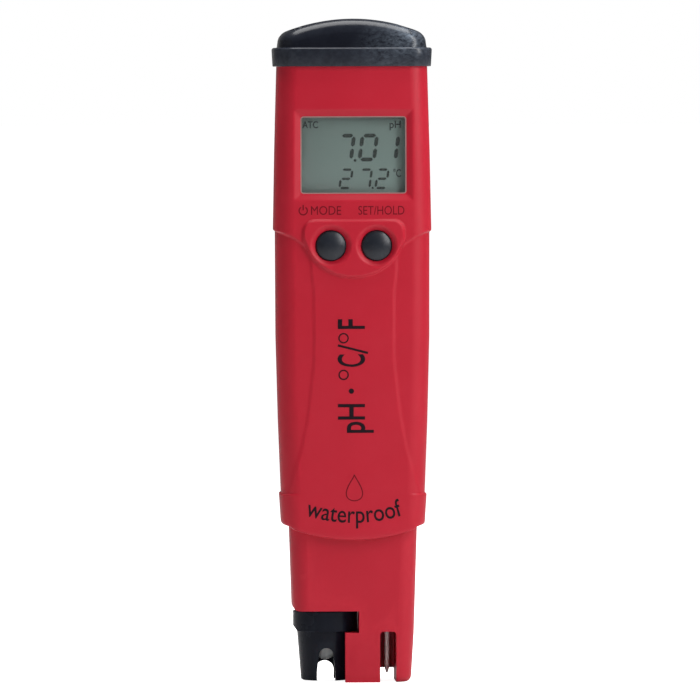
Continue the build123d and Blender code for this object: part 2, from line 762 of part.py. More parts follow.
cell_places = [
    (x, CELL_FLOOR + level * CELL_HEIGHT) for x in (-CELL_X, CELL_X) for level in (0, 1)
]
for number, (x, low) in enumerate(cell_places, start=1):
    write(f"button_cell_{number}", button_cell(x, low))
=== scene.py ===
# %% [markdown]
# # A pocket pH tester
# The tester is a red moulded case with a black battery cap on top, a display behind a clear
# window, two rubber keys and, at its foot, an electrode beside a steel temperature sensor.
# Its engineering model is loaded first and stays where it is. It fixes every size and place,
# so the pieces made here only give those parts their finished surfaces.

import math

import bmesh
import bpy
import numpy as np
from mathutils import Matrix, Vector


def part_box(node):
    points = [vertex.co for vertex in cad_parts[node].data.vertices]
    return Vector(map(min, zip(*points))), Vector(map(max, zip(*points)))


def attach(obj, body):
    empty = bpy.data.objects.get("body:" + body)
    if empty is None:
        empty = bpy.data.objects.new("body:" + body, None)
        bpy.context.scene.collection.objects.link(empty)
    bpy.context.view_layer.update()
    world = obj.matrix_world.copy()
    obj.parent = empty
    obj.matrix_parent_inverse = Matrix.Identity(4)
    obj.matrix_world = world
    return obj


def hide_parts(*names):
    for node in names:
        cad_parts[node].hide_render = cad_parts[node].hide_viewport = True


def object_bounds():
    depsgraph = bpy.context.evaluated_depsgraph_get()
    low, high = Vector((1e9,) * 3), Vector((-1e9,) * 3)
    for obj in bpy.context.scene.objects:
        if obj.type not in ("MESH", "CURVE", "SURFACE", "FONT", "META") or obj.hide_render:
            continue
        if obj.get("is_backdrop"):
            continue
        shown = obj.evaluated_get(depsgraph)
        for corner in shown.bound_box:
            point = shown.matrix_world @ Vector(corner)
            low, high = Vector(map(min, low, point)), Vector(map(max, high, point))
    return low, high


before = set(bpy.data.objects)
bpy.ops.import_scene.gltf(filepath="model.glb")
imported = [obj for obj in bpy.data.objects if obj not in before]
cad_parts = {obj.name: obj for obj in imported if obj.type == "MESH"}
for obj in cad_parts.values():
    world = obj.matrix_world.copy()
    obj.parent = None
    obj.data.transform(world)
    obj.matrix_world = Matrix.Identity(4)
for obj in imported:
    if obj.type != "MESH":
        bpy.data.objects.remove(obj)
cad_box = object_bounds()
MM = 0.001
print("nodes in the frame:", len(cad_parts))

# %% [markdown]
# ## The camera
# A small product is usually shown through a long lens from far away, because that keeps its
# sides parallel. The camera stands over two metres off, a little to the left and a little
# above the middle. It is also rolled by a hair, as a camera on a copy stand often is.

# %% Camera
CAMERA_DISTANCE = 2.2
CAMERA_AZIMUTH = -2.3
CAMERA_ELEVATION = 1.7
CAMERA_ROLL = -0.147
FRAME_HEIGHT = 0.1724
AIM_ASIDE = Vector((-0.00055, 0, 0))  # the pen stands a touch right of the frame's middle

low, high = (Vector(corner) for corner in cad_box)
middle = (low + high) / 2


def direction(azimuth, elevation):
    """Unit vector from the object towards a place round it, in degrees from straight in front."""
    turn, tilt = math.radians(azimuth), math.radians(elevation)
    level = math.cos(tilt)
    return Vector((math.sin(turn) * level, -math.cos(turn) * level, math.sin(tilt)))


def aimed_camera(azimuth, elevation, roll, target):
    """Long-lens camera that looks at the target from an azimuth and an elevation, in degrees."""
    away = direction(azimuth, elevation)
    data = bpy.data.cameras.new("product_camera")
    data.lens = data.sensor_width * CAMERA_DISTANCE / FRAME_HEIGHT
    data.clip_end = 100
    camera = bpy.data.objects.new("product_camera", data)
    camera.location = target + away * CAMERA_DISTANCE
    camera.rotation_euler = (-away).to_track_quat("-Z", "Y").to_euler()
    camera.rotation_euler.rotate_axis("Z", math.radians(roll))
    bpy.context.scene.collection.objects.link(camera)
    bpy.context.scene.camera = camera
    return camera


camera = aimed_camera(CAMERA_AZIMUTH, CAMERA_ELEVATION, CAMERA_ROLL, middle + AIM_ASIDE)
print("lens in mm:", round(camera.data.lens, 1))

# %% [markdown]
# ## Nodes in a line or two
# A material or a world is a graph of nodes, and writing out every link takes a line each.
# These helpers take a node's inputs by name. A value may be a plain number or another node's
# output, and then the helper makes the link, so a graph reads like the sum that it works out.

# %% Node helpers
def feed(tree, socket, value):
    """Gives a socket its value: another node's output, or a plain number or colour."""
    if isinstance(value, bpy.types.NodeSocket):
        tree.links.new(value, socket)
    else:
        socket.default_value = value


def fill(tree, node, **values):
    """Fills in a node's inputs by name, with _ for a space. Other names are its properties."""
    for label, value in values.items():
        name = label.replace("_", " ")
        if name in node.inputs:
            feed(tree, node.inputs[name], value)
        else:
            setattr(node, label, value)
    return node


def add(tree, kind, **values):
    """Adds a node and fills it in."""
    return fill(tree, tree.nodes.new(kind), **values)


def reckon(tree, operation, first, second, kind="ShaderNodeMath", **settings):
    """Adds a node that works on two values, and gives back its result."""
    node = add(tree, kind, operation=operation, **settings)
    feed(tree, node.inputs[0], first)
    feed(tree, node.inputs[1], second)
    return node.outputs["Value"]


print("node helpers:", [helper.__name__ for helper in (feed, fill, add, reckon)])

# %% [markdown]
# ## The paper sweep
# Catalogues show a product on a white sweep. A wide pale floor and a pale world do the same
# here from every side, with no wall behind that another view would run into. Both light
# the object softly but show as plain white paper: a Light Path node tells the camera's own
# rays from the rest. The Standard view transform keeps white paper white, where the default
# one, made for film-like contrast, greys it.

# %% Floor and world
bpy.context.scene.view_settings.view_transform = "Standard"
WHITE_LIGHT = (1, 1, 1, 1)
PAPER = (0.80, 0.80, 0.80, 1)
PAPER_GLOW = 0.95
FLOOR_RADIUS = 30.0
WORLD_LIT, WORLD_SEEN = 0.17, 1.0


def pale_floor(radius):
    """A wide round floor, level with the foot of the object. It looks white to the camera."""
    mesh = bpy.data.meshes.new("floor")
    form = bmesh.new()
    bmesh.ops.create_circle(form, cap_ends=True, segments=96, radius=radius)
    form.to_mesh(mesh)
    form.free()
    floor = bpy.data.objects.new("floor", mesh)
    bpy.context.scene.collection.objects.link(floor)
    paper = bpy.data.materials.new("paper")
    paper.use_nodes = True
    tree = paper.node_tree
    seen = add(tree, "ShaderNodeLightPath").outputs["Is Camera Ray"]
    fill(
        tree,
        tree.nodes["Principled BSDF"],
        Base_Color=PAPER,
        Roughness=0.9,
        Specular_IOR_Level=0.1,
        Emission_Color=WHITE_LIGHT,
        Emission_Strength=reckon(tree, "MULTIPLY", seen, PAPER_GLOW),
    )
    mesh.materials.append(paper)
    floor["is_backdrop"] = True
    return floor


def pale_world(lit, seen):
    """World that lights softly and shows as plain white paper behind the object."""
    world = bpy.data.worlds.new("white_room")
    world.use_nodes = True
    tree = world.node_tree
    ray = add(tree, "ShaderNodeLightPath").outputs["Is Camera Ray"]
    strength = add(tree, "ShaderNodeMapRange", Value=ray, To_Min=lit, To_Max=seen)
    background = tree.nodes["Background"]
    fill(tree, background, Color=WHITE_LIGHT, Strength=strength.outputs["Result"])
    bpy.context.scene.world = world


pale_floor(FLOOR_RADIUS)
pale_world(WORLD_LIT, WORLD_SEEN)
print("view transform:", bpy.context.scene.view_settings.view_transform)

# %% [markdown]
# ## The lamps
# A narrow strip high on the right draws the bright line down the pen's shoulder, and a broad
# box overhead lights the crown of the cap. The other lamps only lift the shade. Two of them
# stay out of reflections, because a glossy black cap would otherwise show them as pale spots.

# %% Softboxes
LAMPS = {  # azimuth, elevation, distance, (width, height), power, shown in reflections
    "key_strip": (51, 32, 0.42, (0.12, 0.34), 1.40, True),
    "top_box": (180, 87, 0.5, (0.45, 0.32), 3.5, True),
    "left_fill": (-70, 10, 0.8, (0.6, 0.6), 0.12, True),
    "front_fill": (-14, 1, 1.2, (0.25, 0.25), 1.2, False),
    "rear_box": (150, 25, 0.9, (0.5, 0.5), 3.4, False),
}


def softbox(name, azimuth, elevation, distance, size, power, reflected):
    """Rectangular light of a given size that faces the object's middle."""
    away = direction(azimuth, elevation)
    data = bpy.data.lights.new(name, "AREA")
    data.shape = "RECTANGLE"
    data.size, data.size_y = size
    data.energy = power
    lamp = bpy.data.objects.new(name, data)
    lamp.location = middle + away * distance
    lamp.rotation_euler = away.to_track_quat("Z", "Y").to_euler()
    lamp.visible_glossy = reflected
    bpy.context.scene.collection.objects.link(lamp)


for name, setting in LAMPS.items():
    softbox(name, *setting)
print("lamps:", list(LAMPS))

# %% [markdown]
# ## Mould grain, a shared node group
# Moulded plastic is never perfectly even: its gloss varies with the polish of the mould, and
# a fine orange-peel ripple bends reflections. Each such effect is one shader node group with
# its own inputs, built once and then placed in every material that shows it. This first one
# needs only two noises, read at the object's own coordinates so that they stay put on it.

# %% Grain: ripple and gloss variation of a mould
def empty_group(name, inputs, outputs):
    """Node group with number inputs, given as (name, default) pairs, and number outputs."""
    tree = bpy.data.node_groups.new(name, "ShaderNodeTree")
    for label, value in inputs:
        socket = tree.interface.new_socket(
            name=label, in_out="INPUT", socket_type="NodeSocketFloat"
        )
        socket.default_value = value
    for label in outputs:
        tree.interface.new_socket(name=label, in_out="OUTPUT", socket_type="NodeSocketFloat")
    given = tree.nodes.new("NodeGroupInput").outputs
    result = tree.nodes.new("NodeGroupOutput").inputs
    return tree, given, result


def own_place(tree):
    """A point's place on the object."""
    return add(tree, "ShaderNodeTexCoord").outputs["Object"]


def grain_group():
    """Height of a fine ripple, and a slow patchy value that varies the gloss."""
    tree, given, result = empty_group(
        "mould_grain", [("Ripple Size", 1.2), ("Patch Size", 12.0)], ["Height", "Patches"]
    )
    place = own_place(tree)
    for size, output, detail in (("Ripple Size", "Height", 3), ("Patch Size", "Patches", 4)):
        scale = reckon(tree, "DIVIDE", 1 / MM, given[size])
        noise = add(
            tree, "ShaderNodeTexNoise", Vector=place, Scale=scale, Detail=detail, Roughness=0.55
        )
        feed(tree, result[output], noise.outputs["Fac"])
    return tree


GRAIN = grain_group()
print("group:", GRAIN.name, "sockets:", len(GRAIN.interface.items_tree))

# %% [markdown]
# ## Edge wear and painted highlight, a shared node group
# Corners are handled most, so they turn a little brighter than the faces, and the same lighter
# tint also paints on the highlight that a rounded edge catches. Painting that by hand would
# mean a texture for each part. Pointiness, which Blender works out for every corner of a
# mesh, is over a half where it juts out, so it finds the edges by itself, and a noise breaks
# the line up.

# %% Wear and painted highlight: brighter edges
LEVEL_POINTINESS = 0.5


def wear_and_highlight_group():
    """Mask of the convex edges, for wear and a painted edge highlight, broken up so that it isn't
    an even line.
    """
    tree, given, result = empty_group("edge_wear_and_highlight", [("Reach", 0.06), ("Amount", 0.5)], ["Mask"])
    pointed = add(tree, "ShaderNodeNewGeometry").outputs["Pointiness"]
    jutting = reckon(tree, "SUBTRACT", pointed, LEVEL_POINTINESS)
    share = reckon(tree, "DIVIDE", jutting, given["Reach"], use_clamp=True)
    breaks = add(tree, "ShaderNodeTexNoise", Vector=own_place(tree), Scale=900, Detail=4)
    broken = reckon(tree, "MULTIPLY", share, breaks.outputs["Fac"], use_clamp=True)
    mask = reckon(tree, "MULTIPLY", broken, given["Amount"], use_clamp=True)
    feed(tree, result["Mask"], mask)
    return tree


EDGE_WEAR_AND_HIGHLIGHT = wear_and_highlight_group()
print("group:", EDGE_WEAR_AND_HIGHLIGHT.name, "nodes:", len(EDGE_WEAR_AND_HIGHLIGHT.nodes))

# %% [markdown]
# ## Dust, a shared node group
# A pen that is carried about picks up a faint film with specks in it, which shows most on
# the black parts. Two noises do it, a cloudy one and a fine one. A Map Range on each keeps
# only its highest values, so most of the surface stays clean.

# %% Dust: a faint grey film and small specks
def dust_group():
    """Mask of a thin broken film with specks in it, as handling leaves on a glossy part."""
    tree, given, result = empty_group(
        "dust_film", [("Amount", 0.3), ("Speck Size", 0.5)], ["Mask"]
    )
    noise = "ShaderNodeTexNoise"
    place = own_place(tree)
    cloud = add(tree, noise, Vector=place, Scale=140, Detail=6, Roughness=0.7)
    scale = reckon(tree, "DIVIDE", 1 / MM, given["Speck Size"])
    specks = add(tree, noise, Vector=place, Scale=scale, Detail=2, Roughness=0.6)
    kept = []
    for source, lowest in ((cloud, 0.48), (specks, 0.6)):
        value = source.outputs["Fac"]
        part = add(tree, "ShaderNodeMapRange", Value=value, From_Min=lowest, From_Max=0.75)
        kept.append(part.outputs["Result"])
    mask = reckon(tree, "MULTIPLY", reckon(tree, "MAXIMUM", *kept), given["Amount"], use_clamp=True)
    feed(tree, result["Mask"], mask)
    return tree


DUST = dust_group()
print("group:", DUST.name, "nodes:", len(DUST.nodes))

# %% [markdown]
# ## Scuffs, a shared node group
# The right end of the cap is scuffed by pockets and benches. A mask that fades out round a
# centre limits the marks to one place, and a noise squeezed along a slant turns into fine
# streaks. The centre comes in as three numbers, so one group serves every patch.

# %% Scuffs: fine scratches in one place
STREAK_SLANT = (0.0, 0.6, 0.0)
STREAK_SCALE = (900.0, 900.0, 1500.0)


def scuff_group():
    """Mask of streaky scuffs that fade out around a centre, given in metres."""
    tree, given, result = empty_group(
        "scuffed_patch",
        [("Across", 0.0), ("Deep", 0.0), ("Up", 0.0), ("Reach", 0.006), ("Amount", 0.5)],
        ["Mask"],
    )
    place = own_place(tree)
    centre = add(
        tree, "ShaderNodeCombineXYZ", X=given["Across"], Y=given["Deep"], Z=given["Up"]
    ).outputs["Vector"]
    away = reckon(tree, "DISTANCE", place, centre, kind="ShaderNodeVectorMath")
    share = reckon(tree, "DIVIDE", away, given["Reach"])
    near = reckon(tree, "SUBTRACT", 1.0, share, use_clamp=True)
    slant = add(
        tree, "ShaderNodeMapping", Vector=place, Rotation=STREAK_SLANT, Scale=STREAK_SCALE
    ).outputs["Vector"]
    streaks = add(tree, "ShaderNodeTexNoise", Vector=slant, Scale=1.0, Detail=5, Roughness=0.65)
    value = streaks.outputs["Fac"]
    lines = add(tree, "ShaderNodeMapRange", Value=value, From_Min=0.34, From_Max=0.72)
    both = reckon(tree, "MULTIPLY", near, lines.outputs["Result"], use_clamp=True)
    mask = reckon(tree, "MULTIPLY", both, given["Amount"], use_clamp=True)
    feed(tree, result["Mask"], mask)
    return tree


SCUFFS = scuff_group()
print("group:", SCUFFS.name, "nodes:", len(SCUFFS.nodes))

# %% [markdown]
# ## Finishes
# Every moulded part uses the same recipe with its own values: a body colour that drifts
# slightly, a lighter tint on its edges that is partly wear and partly a painted highlight,
# a film of dust, a gloss that the dust dulls, and a shallow ripple in the surface. Values
# that are the same all over sit on the shader itself.

# %% A moulded finish from the shared groups
SCUFF_COLOUR = (0.30, 0.36, 0.44)


def placed(tree, group, **values):
    """Puts a shared group in a material, with this material's values."""
    return add(tree, "ShaderNodeGroup", node_tree=group, **values)


def mixed(tree, mask, first, second):
    """Mixes two colours by a mask; the first may be another node's output."""
    mix = add(tree, "ShaderNodeMix", data_type="RGBA", Factor=mask)
    for label, colour in (("A", first), ("B", second)):
        socket = next(s for s in mix.inputs if s.name == label and s.type == "RGBA")
        feed(tree, socket, (*colour, 1) if isinstance(colour, tuple) else colour)
    return next(s for s in mix.outputs if s.type == "RGBA")


def moulded(
    name, colour, drift, worn_and_highlit, dusty, gloss, ripple, wear=0.4, dust=0.25, scuffs=(), **shader_values
):
    """Material of a moulded part. gloss is its (smoothest, dullest) roughness.

    ripple is (size, depth) in mm, and other names are set on the shader itself.
    """
    material = bpy.data.materials.new(name)
    material.use_nodes = True
    tree = material.node_tree
    ripple_size, ripple_depth = ripple
    grain = placed(tree, GRAIN, Ripple_Size=ripple_size)
    edges = placed(tree, EDGE_WEAR_AND_HIGHLIGHT, Amount=wear)
    film = placed(tree, DUST, Amount=dust)
    paint = mixed(tree, grain.outputs["Patches"], colour, drift)
    # Convex edges take a lighter tint: partly wear, partly a painted highlight along the edges.
    paint = mixed(tree, edges.outputs["Mask"], paint, worn_and_highlit)
    paint = mixed(tree, film.outputs["Mask"], paint, dusty)
    for patch in scuffs:
        rubbed = placed(tree, SCUFFS, **patch)
        paint = mixed(tree, rubbed.outputs["Mask"], paint, SCUFF_COLOUR)
    uneven = reckon(tree, "MAXIMUM", grain.outputs["Patches"], film.outputs["Mask"])
    smoothest, dullest = gloss
    rough = add(tree, "ShaderNodeMapRange", Value=uneven, To_Min=smoothest, To_Max=dullest)
    height, depth = grain.outputs["Height"], ripple_depth * MM
    bump = add(tree, "ShaderNodeBump", Distance=depth, Height=height)
    shader = tree.nodes["Principled BSDF"]
    fill(tree, shader, Base_Color=paint, Roughness=rough.outputs["Result"], **shader_values)
    feed(tree, shader.inputs["Normal"], bump.outputs["Normal"])
    return material


print("a moulded finish uses:", [group.name for group in (GRAIN, EDGE_WEAR_AND_HIGHLIGHT, DUST, SCUFFS)])

# %% [markdown]
# The red body and the two blacks are what a hand and an eye meet first, so their colours are
# set with most care. Each has a second colour close by, and the grain drifts between them.
# The keys are silicone rubber, which is duller than the mouldings and gathers more dust.

# %% Red and black mouldings, and the keys' rubber
RED = moulded(
    "red_moulding",
    colour=(0.408, 0.0060, 0.020),
    drift=(0.452, 0.0075, 0.025),
    # The lighter edge colour paints a highlight along the case's rounded edges.
    worn_and_highlit=(0.62, 0.03, 0.05),
    dusty=(0.52, 0.035, 0.06),
    gloss=(0.40, 0.52),
    ripple=(0.5, 0.010),
    wear=0.3,
    dust=0.08,
    Specular_IOR_Level=0.3,
)
BLACK_PLASTIC = {
    "colour": (0.0045, 0.0055, 0.0100),
    "drift": (0.0070, 0.0085, 0.0150),
    "ripple": (0.8, 0.012),
}
BLACK = moulded(
    "black_moulding",
    **BLACK_PLASTIC,
    worn_and_highlit=(0.05, 0.06, 0.075),
    dusty=(0.03, 0.04, 0.055),
    gloss=(0.20, 0.34),
    wear=0.15,
    dust=0.03,
    Specular_IOR_Level=0.10,
)
RUBBER = moulded(
    "key_rubber",
    colour=(0.0060, 0.0080, 0.0135),
    drift=(0.0085, 0.0110, 0.0180),
    worn_and_highlit=(0.05, 0.06, 0.07),
    dusty=(0.06, 0.07, 0.09),
    gloss=(0.28, 0.45),
    ripple=(0.4, 0.008),
    wear=0.2,
    dust=0.12,
    Specular_IOR_Level=0.4,
)
print("outer finishes:", RED.name, BLACK.name, RUBBER.name)

# %% [markdown]
# Inside are soft seals, the grey tray, white holders, the green board, chips, the electrode's
# ceramic ring and red wires. They show only when the cap is off, but they use the same
# recipe, because a finish made by one function costs no more than a flat colour.

# %% Seals, tray and holders
SEAL = moulded(
    "seal_rubber",
    colour=(0.02, 0.02, 0.022),
    drift=(0.03, 0.03, 0.032),
    worn_and_highlit=(0.06, 0.06, 0.06),
    dusty=(0.1, 0.1, 0.1),
    gloss=(0.5, 0.7),
    ripple=(0.3, 0.01),
)
GREY = moulded(
    "tray_moulding",
    colour=(0.045, 0.045, 0.05),
    drift=(0.055, 0.055, 0.06),
    worn_and_highlit=(0.15, 0.15, 0.15),
    dusty=(0.2, 0.2, 0.2),
    gloss=(0.4, 0.6),
    ripple=(0.6, 0.015),
)
WHITE = moulded(
    "white_moulding",
    colour=(0.70, 0.70, 0.66),
    drift=(0.76, 0.76, 0.72),
    worn_and_highlit=(0.8, 0.8, 0.78),
    dusty=(0.6, 0.6, 0.57),
    gloss=(0.35, 0.5),
    ripple=(0.6, 0.01),
)
print("inner plastics:", SEAL.name, GREY.name, WHITE.name)

# %% [markdown]
# The board is green solder mask over glass cloth, and its chips are dull epoxy. The ceramic
# ring is porous, so it has the deepest ripple at the smallest size. The wires have a soft red
# cover. All four are moulded or coated, so the same recipe fits them.

# %% Board, chips, ceramic ring and wires
BOARD = moulded(
    "solder_mask",
    colour=(0.015, 0.12, 0.05),
    drift=(0.02, 0.15, 0.06),
    worn_and_highlit=(0.2, 0.25, 0.12),
    dusty=(0.15, 0.2, 0.15),
    gloss=(0.25, 0.4),
    ripple=(0.9, 0.01),
)
EPOXY = moulded(
    "chip_epoxy",
    colour=(0.02, 0.02, 0.022),
    drift=(0.03, 0.03, 0.032),
    worn_and_highlit=(0.08, 0.08, 0.08),
    dusty=(0.12, 0.12, 0.12),
    gloss=(0.5, 0.7),
    ripple=(0.2, 0.01),
)
CERAMIC = moulded(
    "porous_ceramic",
    colour=(0.60, 0.57, 0.50),
    drift=(0.70, 0.67, 0.60),
    worn_and_highlit=(0.8, 0.78, 0.72),
    dusty=(0.5, 0.48, 0.42),
    gloss=(0.7, 0.9),
    ripple=(0.15, 0.04),
)
WIRE = moulded(
    "wire_cover",
    colour=(0.35, 0.02, 0.02),
    drift=(0.42, 0.03, 0.03),
    worn_and_highlit=(0.5, 0.1, 0.1),
    dusty=(0.4, 0.15, 0.15),
    gloss=(0.35, 0.5),
    ripple=(0.4, 0.01),
)
print("finishes so far:", len(bpy.data.materials))

# %% [markdown]
# Metal parts use the same groups, but Metallic is on and the ripple becomes fine drawing
# lines. The glass of the bulb and the clear window are thin, so a low Alpha with a clear
# coat shows them better than refraction would: light and shadow pass straight through to
# the display, as they do through a flat pane.

# %% Metals and clear parts
def metal(name, colour, drift, gloss, metallic=1.0):
    """Bare metal with slightly uneven polish. Below full Metallic its colour shows, and a whitened
    one paints on a sheen.
    """
    return moulded(
        name,
        colour=colour,
        drift=drift,
        worn_and_highlit=tuple(min(1, 1.15 * c) for c in colour),
        dusty=tuple(0.7 * c for c in colour),
        gloss=gloss,
        ripple=(0.25, 0.004),
        wear=0.3,
        dust=0.15,
        Metallic=metallic,
    )


STEEL = metal("stainless_steel", (0.60, 0.60, 0.59), (0.50, 0.50, 0.50), (0.26, 0.42))
BLACKENED = metal("blackened_steel", (0.045, 0.045, 0.05), (0.03, 0.03, 0.035), (0.35, 0.5))
# The sensor tube's steel is nearly white and less metallic: a painted sheen for the bright
# reflections along it.
STEEL_WITH_PAINTED_SHEEN = metal("steel_painted_sheen", (0.98, 0.96, 0.95), (0.92, 0.90, 0.89), (0.40, 0.55), 0.3)
NICKEL = metal("nickel_can", (0.68, 0.67, 0.63), (0.60, 0.59, 0.56), (0.15, 0.3))
BRASS = metal("brass", (0.78, 0.55, 0.24), (0.68, 0.46, 0.20), (0.2, 0.4))
SILVER = metal("silver", (0.80, 0.79, 0.77), (0.6, 0.6, 0.6), (0.2, 0.45))
CLEAR = moulded(
    "clear_window",
    colour=(0.10, 0.12, 0.11),
    drift=(0.12, 0.14, 0.13),
    worn_and_highlit=(0.5, 0.5, 0.5),
    dusty=(0.30, 0.32, 0.32),
    gloss=(0.08, 0.2),
    ripple=(3.0, 0.003),
    wear=0.3,
    dust=0.15,
    Alpha=0.08,
)
GLASS = moulded(
    "bulb_glass",
    colour=(0.75, 0.80, 0.80),
    drift=(0.82, 0.85, 0.85),
    worn_and_highlit=(0.9, 0.9, 0.9),
    dusty=(0.6, 0.62, 0.62),
    gloss=(0.05, 0.15),
    ripple=(2.0, 0.004),
    Alpha=0.35,
)
print("metals and clear parts done")

# %% [markdown]
# ## The outline that the whole case shares
# In plan the case is a rounded rectangle whose front bows out slightly and whose sides bow a
# little less. A box with bevelled edges would give neither bow. Here each outline is worked
# out exactly: a large circle for the face, another for the side, and a corner circle that
# touches both. Its points are then spread in the same number and order at every height, so
# two outlines can be joined, or blended into each other, point by point.

# %% One quarter of an outline
FULL_TURN = 2 * math.pi
NEARLY_FLAT = 1e-4  # a bow this small, in mm, stands for a flat face
SIDE_POINTS, BEND_POINTS, FACE_POINTS = 24, 48, 48


def meeting_point(first, first_radius, second, second_radius):
    """Of the two points at given distances from two centres, the one at the corner."""
    span = second - first
    distance = np.hypot(*span)
    along = (first_radius**2 - second_radius**2 + distance**2) / (2 * distance)
    across = math.sqrt(max(first_radius**2 - along**2, 0))
    base = first + span * along / distance
    normal = np.array([-span[1], span[0]]) / distance
    return max(base + normal * across, base - normal * across, key=lambda p: p[0] - p[1])


def arc(centre, radius, start, end, count, endpoint=True):
    """Points along a circle from one angle to another."""
    angles = np.linspace(start, end, count, endpoint=endpoint)
    return np.stack([centre[0] + radius * np.cos(angles), centre[1] + radius * np.sin(angles)], 1)


def quarter(width, depth, corner, crown=0.0, cheek=0.0, rear=False):
    """Fine outline from the side's middle, round the corner, to the face's middle at x = 0.

    width and depth are half sizes in mm. The face looks towards -y. The crown is how far the
    front bows, and the cheek how far the sides do. The rear face is flat.
    """
    bow = max(NEARLY_FLAT if rear else crown, NEARLY_FLAT)
    cheek = max(cheek, NEARLY_FLAT)
    lean = -crown / 2 if rear else crown / 2
    reach = depth - crown / 2
    inward = (cheek**2 + reach**2 - lean**2) / (2 * cheek)
    side_radius = math.hypot(inward, lean)
    side_centre = np.array([width - inward, lean])
    face_radius = ((width - cheek) ** 2 + bow**2) / (2 * bow)
    face_centre = np.array([0.0, face_radius - depth])
    corner_centre = meeting_point(
        face_centre, face_radius - corner, side_centre, side_radius - corner
    )
    to_side, to_face = corner_centre - side_centre, corner_centre - face_centre
    side_turn = math.atan2(to_side[1], to_side[0])
    face_turn = math.atan2(to_face[1], to_face[0])
    start_turn = math.atan2(-lean, inward)
    side = arc(side_centre, side_radius, start_turn, side_turn, SIDE_POINTS)
    bend = arc(corner_centre, corner, side_turn, face_turn, BEND_POINTS)
    face = arc(face_centre, face_radius, face_turn, -math.pi / 2, FACE_POINTS)
    return np.concatenate([side, bend[1:], face[1:]])


corner_check = quarter(19.0, 12.0, 5.0, 0.6, 0.4)
print("outline reaches x, y in mm:", corner_check[:, 0].max().round(2), corner_check[:, 1].min())

# %% [markdown]
# ## Even columns
# The face carries all the detail, so its columns stand at fixed x, a quarter of a millimetre
# apart, and the window's sloping frame then runs straight along them. The corners and the
# sides share out what is left by length.

# %% Spreading an outline's points over columns
FACE_HALF_WIDTH = 15.0
COLUMN_STEP = 0.25
SIDE_COLUMNS = 24


def spread(points):
    """Spreads a quarter outline: equal steps round the side, then fixed x on the face."""
    by_x = points[::-1]
    face_x = np.arange(FACE_HALF_WIDTH, -COLUMN_STEP / 2, -COLUMN_STEP)
    face_y = np.interp(face_x, by_x[:, 0], by_x[:, 1])
    face = np.stack([face_x, face_y], 1)
    side = points[(points[:, 0] > FACE_HALF_WIDTH) | (points[:, 1] > -FACE_HALF_WIDTH / 3)]
    side = np.concatenate([side, face[:1]])
    length = np.concatenate([[0], np.cumsum(np.hypot(*np.diff(side, axis=0).T))])
    even = np.linspace(0, length[-1], SIDE_COLUMNS, endpoint=False)
    around = np.stack([np.interp(even, length, side[:, i]) for i in (0, 1)], 1)
    return np.concatenate([around, face])


def half_outline(width, depth, corner, crown=0.0, cheek=0.0, rear=False):
    """Half of the case's outline: the front from left to right, or the rear back again."""
    right = spread(quarter(width, depth, corner, crown, cheek, rear))
    front = np.concatenate([right * [-1, 1], right[-2::-1]])
    return -front if rear else front


print("columns on each shell:", len(half_outline(19, 12, 5, 0.6, 0.4)))

# %% [markdown]
# ## Heights and sizes of the case
# These are the case's driving sizes in millimetres, each a half width and a half depth at a
# height. The sleeve is what a hand holds, the block carries the display, and the skirt grips
# the probe housing. A maker would read the same numbers off the tool drawing.

# %% Sizes of the case
SLEEVE = [
    (34, 17.05, 10.3), (47.5, 17.7, 10.7), (64.2, 18.33, 11.2), (85, 18.85, 11.6),
    (112, 18.93, 11.6),
]
BLOCK = [(98, 19.65, 12.0), (131, 19.02, 12.0), (151.3, 18.45, 12.0)]
SKIRT = [(34, 17.6, 10.9), (46.4, 18.1, 11.1)]
CAVITY = [(48.1, 15.0, 8.2), (95, 16.9, 10.2), (152, 16.75, 10.2)]
SHELL_TOP, SKIRT_TOP, SKIRT_FOOT, BLOCK_FOOT = 151.3, 46.4, 35.2, 111.0
CORNER, CROWN, CHEEK = 5.0, 0.6, 0.4
REAR_FLAT = 11.95
WINDOW_WIDTH, WINDOW_HEIGHT, WINDOW_Z = 26.0, 19.0, 129.6
KEYS = {"mode_key": -5.6, "hold_key": 5.6}
KEY_HEIGHT, KEY_HOLE = 107.4, 3.8


def size_at(stations, height):
    """Half width and half depth at a height, between two stations."""
    heights, widths, depths = zip(*stations)
    return np.interp(height, heights, widths), np.interp(height, heights, depths)


def step(distance, ramp):
    """Smooth change from 0 to 1 as a distance in mm goes through zero."""
    share = np.clip(distance / ramp + 0.5, 0, 1)
    return share * share * (3 - 2 * share)


print("half width and depth at the keys:", *(size.round(2) for size in size_at(SLEEVE, KEY_HEIGHT)))

# %% [markdown]
# ## The case's relief, as distances
# Each raised or sunken region of the front has a boundary. A function gives the distance of
# any point from it, and a smooth step turns the distance into a height. That makes the small
# radius that every edge of a moulding has, which a plain cut would leave knife-sharp.

# %% Distances on the case's front, in mm and positive inside
FUNNEL_EDGE, FUNNEL_REACH = 19.4, 12.0  # where the block's edge starts, and how far in it goes
FUNNEL_SLOPE, FUNNEL_BEND = 0.1693, 0.0455
LOBE_RADIUS, LOBE_HEIGHT = 12.8, 112.4
SPINE_EDGE = [  # height and half width
    (45.0, 17.4), (49.5, 15.6), (56.5, 13.2), (65.5, 11.4), (78, 9.95), (84, 9.8), (96, 9.9),
    (101, 10.5),
]


def bib_distance(x, z):
    """Display block: it narrows like a funnel and ends in a round lobe below the keys."""
    inward = np.clip(FUNNEL_EDGE - np.abs(x), 0, FUNNEL_REACH)
    edge = BLOCK_FOOT - FUNNEL_SLOPE * inward - FUNNEL_BEND * inward**2
    slope = FUNNEL_SLOPE + 2 * FUNNEL_BEND * inward
    funnel = (z - edge) / np.hypot(1, slope)
    lobe = LOBE_RADIUS - np.hypot(x, z - LOBE_HEIGHT)
    return np.maximum(funnel, lobe)


